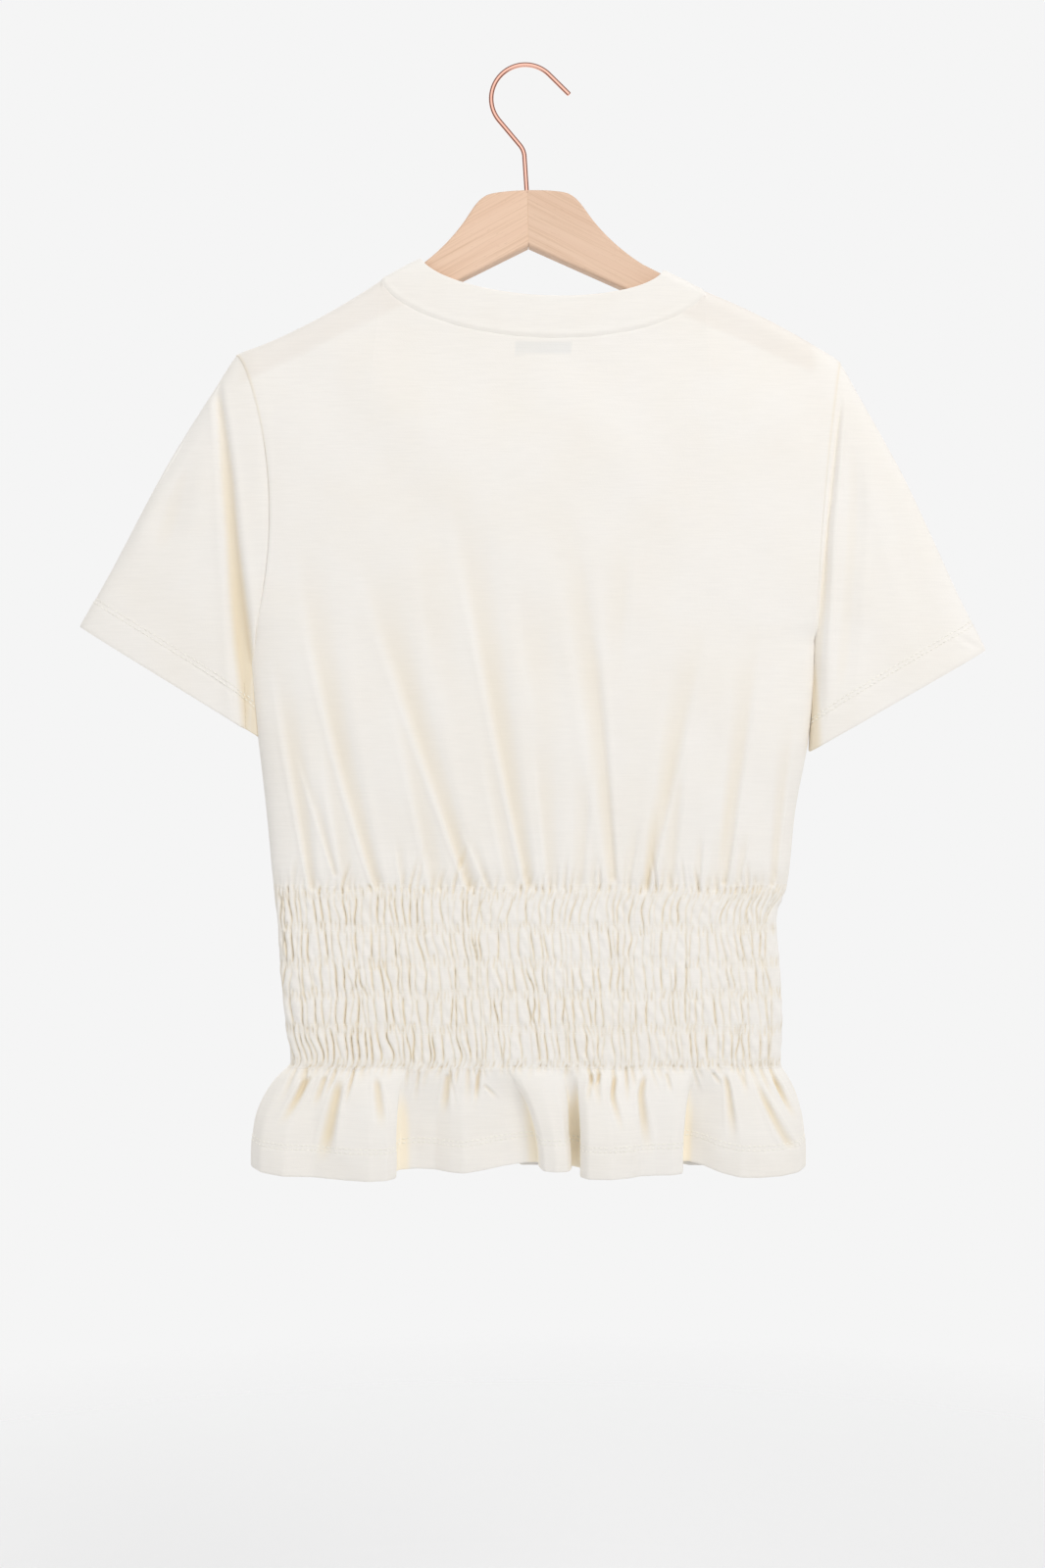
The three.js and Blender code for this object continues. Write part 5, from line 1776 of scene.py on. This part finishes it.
@dataclass(frozen=True)
class Beech:
    """Pale beech with fine grain along the arm and small flecks, satin varnish.

    Attributes:
        name: Name of the material.
        turn: Angle of the grain about Y, in degrees.
        tone: A factor on this piece's colour, which it darkens, most in blue.
        dark: The darker colour of its figure.
        light: The lighter one.
        line: Colour of its grain lines.
        fleck: Colour of its flecks.
    """

    name: str
    turn: float
    tone: float
    dark: Vec = (0.80, 0.57, 0.435, 1)
    light: Vec = (0.84, 0.62, 0.48, 1)
    line: Vec = (0.66, 0.45, 0.31, 1)
    fleck: Vec = (0.58, 0.38, 0.26, 1)

    def material(self) -> bpy.types.Material:
        """Make the material."""
        s = Shader(self.name)
        along = s.where((0, math.radians(self.turn), 0))
        grain = s.noise(s.stretched(along, (14, 620, 980)), 5.0)
        figure = s.noise(s.stretched(along, (4, 90, 160)), 3.0)
        flecks = s.noise(s.stretched(along, (260, 1200, 1500)), 1.0)
        wood = s.blend(s.fit(figure, (0.3, 0.7), (0, 1)), self.dark, self.light)
        wood = s.blend(s.fit(grain, (0.48, 0.72), (0, 0.7)), wood, self.line)
        wood = s.blend(s.fit(flecks, (0.68, 0.78), (0, 0.45)), wood, self.fleck)
        toned = (self.tone, self.tone * 0.98, self.tone * 0.94, 1)
        return s.finished({
            "Base Color": s.blend(1.0, wood, toned, "MULTIPLY"),
            "Roughness": s.fit(grain, (0.3, 0.7), (0.55, 0.66)),
            "Coat Weight": 0.05,
            "Coat Roughness": 0.45,
            "Normal": s.bump(figure, 0.1, 0.0002),
        })


@dataclass(frozen=True)
class Glue:
    """Set wood glue, a little darker than the beech."""

    name: str = "glue"
    colour: Vec = (0.72, 0.50, 0.34, 1)

    def material(self) -> bpy.types.Material:
        """Make the material."""
        return Shader(self.name).finished({"Base Color": self.colour, "Roughness": 0.6})


@dataclass(frozen=True)
class RoseGold:
    """Polished rose gold plating with faint drawing marks."""

    name: str = "rose_gold"
    light: Vec = (0.88, 0.53, 0.43, 1)
    dark: Vec = (0.84, 0.48, 0.38, 1)

    def material(self) -> bpy.types.Material:
        """Make the material."""
        s = Shader(self.name)
        marks = s.noise(s.where(scale=(35, 35, 35)), 1.0)
        worn = s.fit(marks, (0.35, 0.7), (0.0, 1.0))
        return s.finished({
            "Base Color": s.blend(worn, self.light, self.dark),
            "Metallic": 1.0,
            "Roughness": s.fit(marks, (0.3, 0.7), (0.15, 0.2)),
        })


@dataclass(frozen=True)
class PaleFloor:
    """The plain pale floor.

    Attributes:
        colour: Its colour.
        fade: Distances from its middle, in metres, between which it fades out.
    """

    name: str = "pale_floor"
    colour: Vec = (0.82, 0.82, 0.82, 1)
    fade: Point = (0.7, 1.5)

    def material(self) -> bpy.types.Material:
        """Make the material."""
        s = Shader(self.name)
        where = s.add("ShaderNodeTexCoord").outputs["Object"]
        level = s.add("ShaderNodeVectorMath", {0: where, 1: (1, 1, 0)}, operation="MULTIPLY")
        away = s.add("ShaderNodeVectorMath", {0: level.outputs[0]}, operation="LENGTH")
        seen = s.fit(away.outputs["Value"], self.fade, (1.0, 0.0))
        return s.finished({"Base Color": self.colour, "Roughness": 0.9, "Alpha": seen})


# ---------- assemblies ----------


def declare(piece: bpy.types.Object, material: bpy.types.Material, slot: str, *nodes: str) -> None:
    """Dress a piece, hang it on the root body and hide the CAD nodes it stands in for."""
    if not piece.data.materials:
        piece.data.materials.append(material)
    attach(piece, "root")
    if nodes:
        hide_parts(*nodes)
    LOG.info("%s: %d faces", piece.name, len(piece.data.polygons))


class Shirt:
    """All the cloth of the garment and its stitches.

    Attributes:
        row_ends: Share of a panel at either side where the elastic's stitches don't show.
    """

    row_ends: float = 0.03

    def __init__(self) -> None:
        """Make the finishes that its pieces share."""
        self.jersey = Jersey().material()
        self.thread = THREAD.material()
        self.satin = SATIN.material()

    def _stitch(self, rows: Stitching) -> bpy.types.Object:
        """Lay rows of stitches."""
        piece = rows.build(self.thread)
        declare(piece, self.thread, "jersey")
        return piece

    def panel(self, side: Side) -> None:
        """Build one side of the body."""
        word = side.name.lower()
        waist, peplum = Smocking(side).cloth(), Peplum(side)
        frill_cloth = peplum.cloth()
        bodice = Bodice(side).cloth().build(word + "_bodice")
        smocking = waist.build(word + "_smocking")
        frill = frill_cloth.build(word + "_peplum")
        for piece in (bodice, smocking, frill):
            declare(piece, self.jersey, "jersey", word + "_panel")
        hem_lines = [line_from_edge(frill_cloth, d)[4:-4] for d in hem_rows(peplum.hem)]
        hem = self._stitch(Stitching(word + "_hem_stitches", hem_lines))
        x = waist.middle[0, :, 0]
        f = np.linspace(0, 1, len(x))
        seen = (f > self.row_ends) & (f < 1 - self.row_ends)
        lines = []
        for k, level in enumerate(ELASTIC_ROWS):
            for edge in (1, -1):
                height = level + edge * ROW_HEIGHT / 2 + row_wander(side, k, x)
                lines.append(line_at_height(waist, height)[seen])
        rows = Stitching(word + "_elastic_stitches", lines, 3.2, 2.0, 0.34, seed=9)
        elastic = self._stitch(rows)

    def sleeve(self, hand: Hand) -> None:
        """Build one sleeve."""
        word = hand.name.lower()
        shape = Sleeve(hand)
        cloth = shape.cloth()
        piece = cloth.build("sleeve_cloth_" + word)
        declare(piece, self.jersey, "jersey", "sleeve_" + word)
        lines = [line_from_edge(cloth, d) for d in hem_rows(shape.hem)]
        stitches = self._stitch(Stitching("cuff_stitches_" + word, lines, closed=True))

    def neck(self) -> None:
        """Build the neckband and the label."""
        band = Neckband().cloth().build("neckband_cloth")
        declare(band, self.jersey, "jersey", "neckband")
        tag = Label().cloth().build("label_cloth")
        declare(tag, self.satin, "label", "neck_label")


@dataclass(frozen=True)
class Wire:
    """The hook's round wire: its free end, ring, lower bend and shank.

    Attributes:
        thick: Thickness of the wire.
        ring: Radius of the ring, at the wire's middle.
        ring_x: X of the ring's middle.
        tip: X and Z of the free end.
        bend: X and Z of the corner above the shank.
        easing: How far from that corner its bend starts.
        shank: X and Z of the shank where it enters the wood and where it ends.
        rounding: How far the wire's ends are rounded.
        sides: Faces round the wire.
        ring_steps: Points along the ring.
        bend_steps: Points along the lower bend.
        end_rings: Rings of points that round each end.
    """

    thick: float = 3.2
    ring: float = 22.9
    ring_x: float = 0.2
    tip: Point = (30.0, -18.6)
    bend: Point = (-0.6, -56.0)
    easing: float = 4.5
    shank: tuple[Point, ...] = ((1.2, -84.0), (1.2, -108.0))
    rounding: float = 0.8
    sides: int = 28
    ring_steps: int = 160
    bend_steps: int = 24
    end_rings: int = 6

    def line(self) -> Array:
        """Return X and Z along the wire's middle, from the free end."""
        centre = np.array([self.ring_x, self.thick / 2 - self.ring])
        angles = []
        for to, way in ((self.tip, 1), (self.bend, -1)):
            away = np.array(to) - centre
            angles.append(math.atan2(away[1], away[0]) + way * math.acos(self.ring / np.hypot(*away)))
        turn = np.linspace(angles[0], angles[1] + 2 * math.pi, self.ring_steps)
        ring = centre + self.ring * np.stack([np.cos(turn), np.sin(turn)], -1)
        bend, top = np.array(self.bend), np.array(self.shank[0])
        start = bend + self.easing * unit(ring[-1] - bend)
        end = bend + self.easing * unit(top - bend)
        t = np.linspace(0, 1, self.bend_steps)[:, None]
        corner = (1 - t) ** 2 * start + 2 * t * (1 - t) * bend + t**2 * end
        return np.concatenate([[self.tip], ring, corner, self.shank])

    def build(self) -> bpy.types.Object:
        """Make the wire."""
        path = self.line()
        ahead = unit(np.diff(path, axis=0))
        along = unit(np.concatenate([ahead[:1], ahead[:-1] + ahead[1:], ahead[-1:]]))
        round_off = np.linspace(0, np.pi / 2, self.end_rings)
        inward = self.rounding * (1 - np.cos(round_off))
        narrow = self.thick / 2 - self.rounding * (1 - np.sin(round_off))
        places = [path[0] + along[0] * step for step in inward]
        places += list(path[1:-1]) + [path[-1] - along[-1] * step for step in inward[::-1]]
        ways = [along[0]] * self.end_rings + list(along[1:-1]) + [along[-1]] * self.end_rings
        radii = np.concatenate([narrow, np.full(len(path) - 2, self.thick / 2), narrow[::-1]])
        angle = np.arange(self.sides) * 2 * np.pi / self.sides
        points = []
        for place, way, radius in zip(places, ways, radii):
            across = radius * np.cos(angle)
            ring = stacked(place[0] + way[1] * across, radius * np.sin(angle), place[1] - way[0] * across)
            points += (ring * MM).tolist()
        count, n = len(places), self.sides
        faces = [tuple(range(n))[::-1], tuple(range((count - 1) * n, count * n))]
        for r in range(count - 1):
            for c in range(n):
                d = (c + 1) % n
                faces.append((r * n + c, r * n + d, (r + 1) * n + d, (r + 1) * n + c))
        mesh = meshed("hook_wire", points, faces)
        mesh.polygons.foreach_set("use_smooth", [False] * 2 + [True] * (len(faces) - 2))
        return placed("hook_wire", mesh)


class Hanger:
    """The wooden arms, whose CAD shapes stay, the glue between them and the wire hook.

    Attributes:
        grain: Angle of the grain and the factor on the wood's colour, for each arm; the right one is darker.
        mitre: X and Z of the joint's top and foot.
        gap: Width of the joint.
        glued: Y from which and to which the glue shows, in front of the hook and behind it.
    """

    grain = {Hand.LEFT: (29.0, 0.99), Hand.RIGHT: (-27.0, 0.93)}
    mitre: tuple[Point, ...] = ((1.642, -86.5), (2.348, -119.8))
    gap: float = 0.3
    glued: Point = (2.6, 5.95)

    def dress(self) -> None:
        """Give the CAD nodes their finishes."""
        for hand, (turn, tone) in self.grain.items():
            word = hand.name.lower()
            self._put("hanger_arm_" + word, Beech("beech_" + word, turn, tone).material())
        declare(Wire().build(), RoseGold().material(), "hook_metal", "hanger_hook")
        self._glue_line()

    def _glue_line(self) -> None:
        """Fill the joint between the arms with the glue that shows there, on either side of the hook."""
        sides = [(0, 1, 3, 2), (4, 6, 7, 5), (0, 4, 5, 1), (2, 3, 7, 6), (0, 2, 6, 4), (1, 5, 7, 3)]
        points, faces = [], []
        for near, far in (self.glued, (-self.glued[1], -self.glued[0])):
            first = len(points)
            for half in (-self.gap / 2, self.gap / 2):
                for x, level in self.mitre:
                    points += [((x + half) * MM, y * MM, level * MM) for y in (near, far)]
            faces += [tuple(first + k for k in face) for face in sides]
        line = placed("glue_line", meshed("glue_line", points, faces))
        declare(line, Glue().material(), "wood")

    def _put(self, node: str, material: bpy.types.Material) -> None:
        """Put a material in every slot of a node."""
        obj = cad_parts[node]
        for slot in obj.material_slots:
            slot.material = material
        if not obj.material_slots:
            obj.data.materials.append(material)
        LOG.info("%s: %s", node, material.name)


@dataclass
class Studio:
    """Camera, floor, lamps and the room's even light.

    Attributes:
        eye: Where the camera stands.
        frame_height: Height of the frame where the garment hangs.
        ground: Height of the floor.
        radius: Radius of the floor.
        corners: Corners of the floor's rim.
        aim: Where the lamps point, in metres.
        lamps: Each lamp's name, place and size in metres, power and colour.
        even_room: Colours of the room's light from below to above.
        mirrored_room: Colours that only reflections see, from the sides to the front and back.
        mirrored_light: How bright those are.
        backdrop: Colour behind everything.
    """

    eye: Vec = (-1.65, -1400.0, -482.8)
    frame_height: float = 1056.0
    ground: float = -1250.0
    radius: float = 1600.0
    corners: int = 96
    aim: Vec = (0, 0, -0.45)
    lamps: tuple[tuple[str, Vec, float, float, Vec], ...] = (
        ("key", (0.85, -1.45, 0.55), 1.2, 16.5, (1.0, 0.992, 0.985)),
        ("fill", (-1.5, -0.9, 0.1), 1.8, 5.0, (0.99, 0.995, 1.0)),
        ("rear", (-0.85, 1.45, 0.55), 1.2, 15.5, (1.0, 0.992, 0.985)),
        ("rear_fill", (1.5, 0.9, 0.1), 1.8, 5.0, (0.99, 0.995, 1.0)),
    )
    even_room: tuple[tuple[float, Vec], ...] = (
        (0.0, (0.49, 0.485, 0.48, 1)),
        (1.0, (0.66, 0.665, 0.67, 1)),
    )
    mirrored_room: tuple[tuple[float, Vec], ...] = (
        (0.35, (0.12, 0.08, 0.075, 1)),
        (0.95, (1.0, 0.98, 0.97, 1)),
    )
    mirrored_light: float = 1.35
    backdrop: Vec = (0.913, 0.913, 0.913, 1)

    def camera(self) -> None:
        """Set up the camera."""
        lens = bpy.data.cameras.new("camera")
        lens.sensor_fit = "VERTICAL"
        lens.sensor_height = 36.0
        lens.lens = 36.0 * -self.eye[1] / self.frame_height
        eye = placed("camera", lens)
        eye.location = [c * MM for c in self.eye]
        eye.rotation_euler = (math.radians(90), 0, 0)
        bpy.context.scene.camera = eye

    def floor(self) -> None:
        """Lay the floor."""
        turns = [2 * math.pi * i / self.corners for i in range(self.corners)]
        r, z = self.radius * MM, self.ground * MM
        points = [(math.cos(turn) * r, math.sin(turn) * r, z) for turn in turns]
        mesh = meshed("floor", points, [tuple(range(self.corners))])
        mesh.materials.append(PaleFloor().material())
        floor = placed("floor", mesh)

    def lights(self) -> None:
        """Hang the lights."""
        for name, place, size, power, tone in self.lamps:
            lamp = bpy.data.lights.new(name, "AREA")
            lamp.shape = "DISK"
            lamp.size = size
            lamp.energy = power
            lamp.color = tone
            obj = placed(name, lamp)
            obj.location = place
            obj.rotation_euler = (Vector(self.aim) - Vector(place)).to_track_quat("-Z", "Y").to_euler()
            obj.visible_glossy = False

    def room(self) -> None:
        """Set the even light all round and the plain backdrop."""
        world = bpy.data.worlds.new("room")
        world.use_nodes = True
        bpy.context.scene.world = world
        n = Nodes(world.node_tree)
        way = n.add("ShaderNodeTexCoord").outputs["Generated"]
        split = n.add("ShaderNodeSeparateXYZ", {0: way}).outputs
        rise = n.fit(split["Z"], (-1.0, 1.0), (0.0, 1.0))
        even = world.node_tree.nodes["Background"]
        n.put(even, "Color", n.ramp(rise, self.even_room))
        across = n.add("ShaderNodeMath", {0: split["Y"]}, operation="ABSOLUTE").outputs[0]
        walls = {"Color": n.ramp(across, self.mirrored_room), "Strength": self.mirrored_light}
        mirrored = n.add("ShaderNodeBackground", walls).outputs[0]
        backdrop = n.add("ShaderNodeBackground", {"Color": self.backdrop}).outputs[0]
        ray = n.add("ShaderNodeLightPath").outputs
        glossy = {0: ray["Is Glossy Ray"], 1: even.outputs[0], 2: mirrored}
        lit = n.add("ShaderNodeMixShader", glossy).outputs[0]
        seen = n.add("ShaderNodeMixShader", {0: ray["Is Camera Ray"], 1: lit, 2: backdrop}).outputs[0]
        n.put(world.node_tree.nodes["World Output"], 0, seen)
        bpy.context.scene.view_settings.view_transform = "Standard"


def main() -> None:
    """Build the scene in order."""
    logging.basicConfig(level=logging.INFO, format="%(name)s: %(message)s")
    studio = Studio()
    studio.camera()
    shirt = Shirt()
    for side in Side:
        shirt.panel(side)
    for hand in Hand:
        shirt.sleeve(hand)
    shirt.neck()
    Hanger().dress()
    studio.floor()
    studio.lights()
    studio.room()
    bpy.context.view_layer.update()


if __name__ == "__main__":
    main()
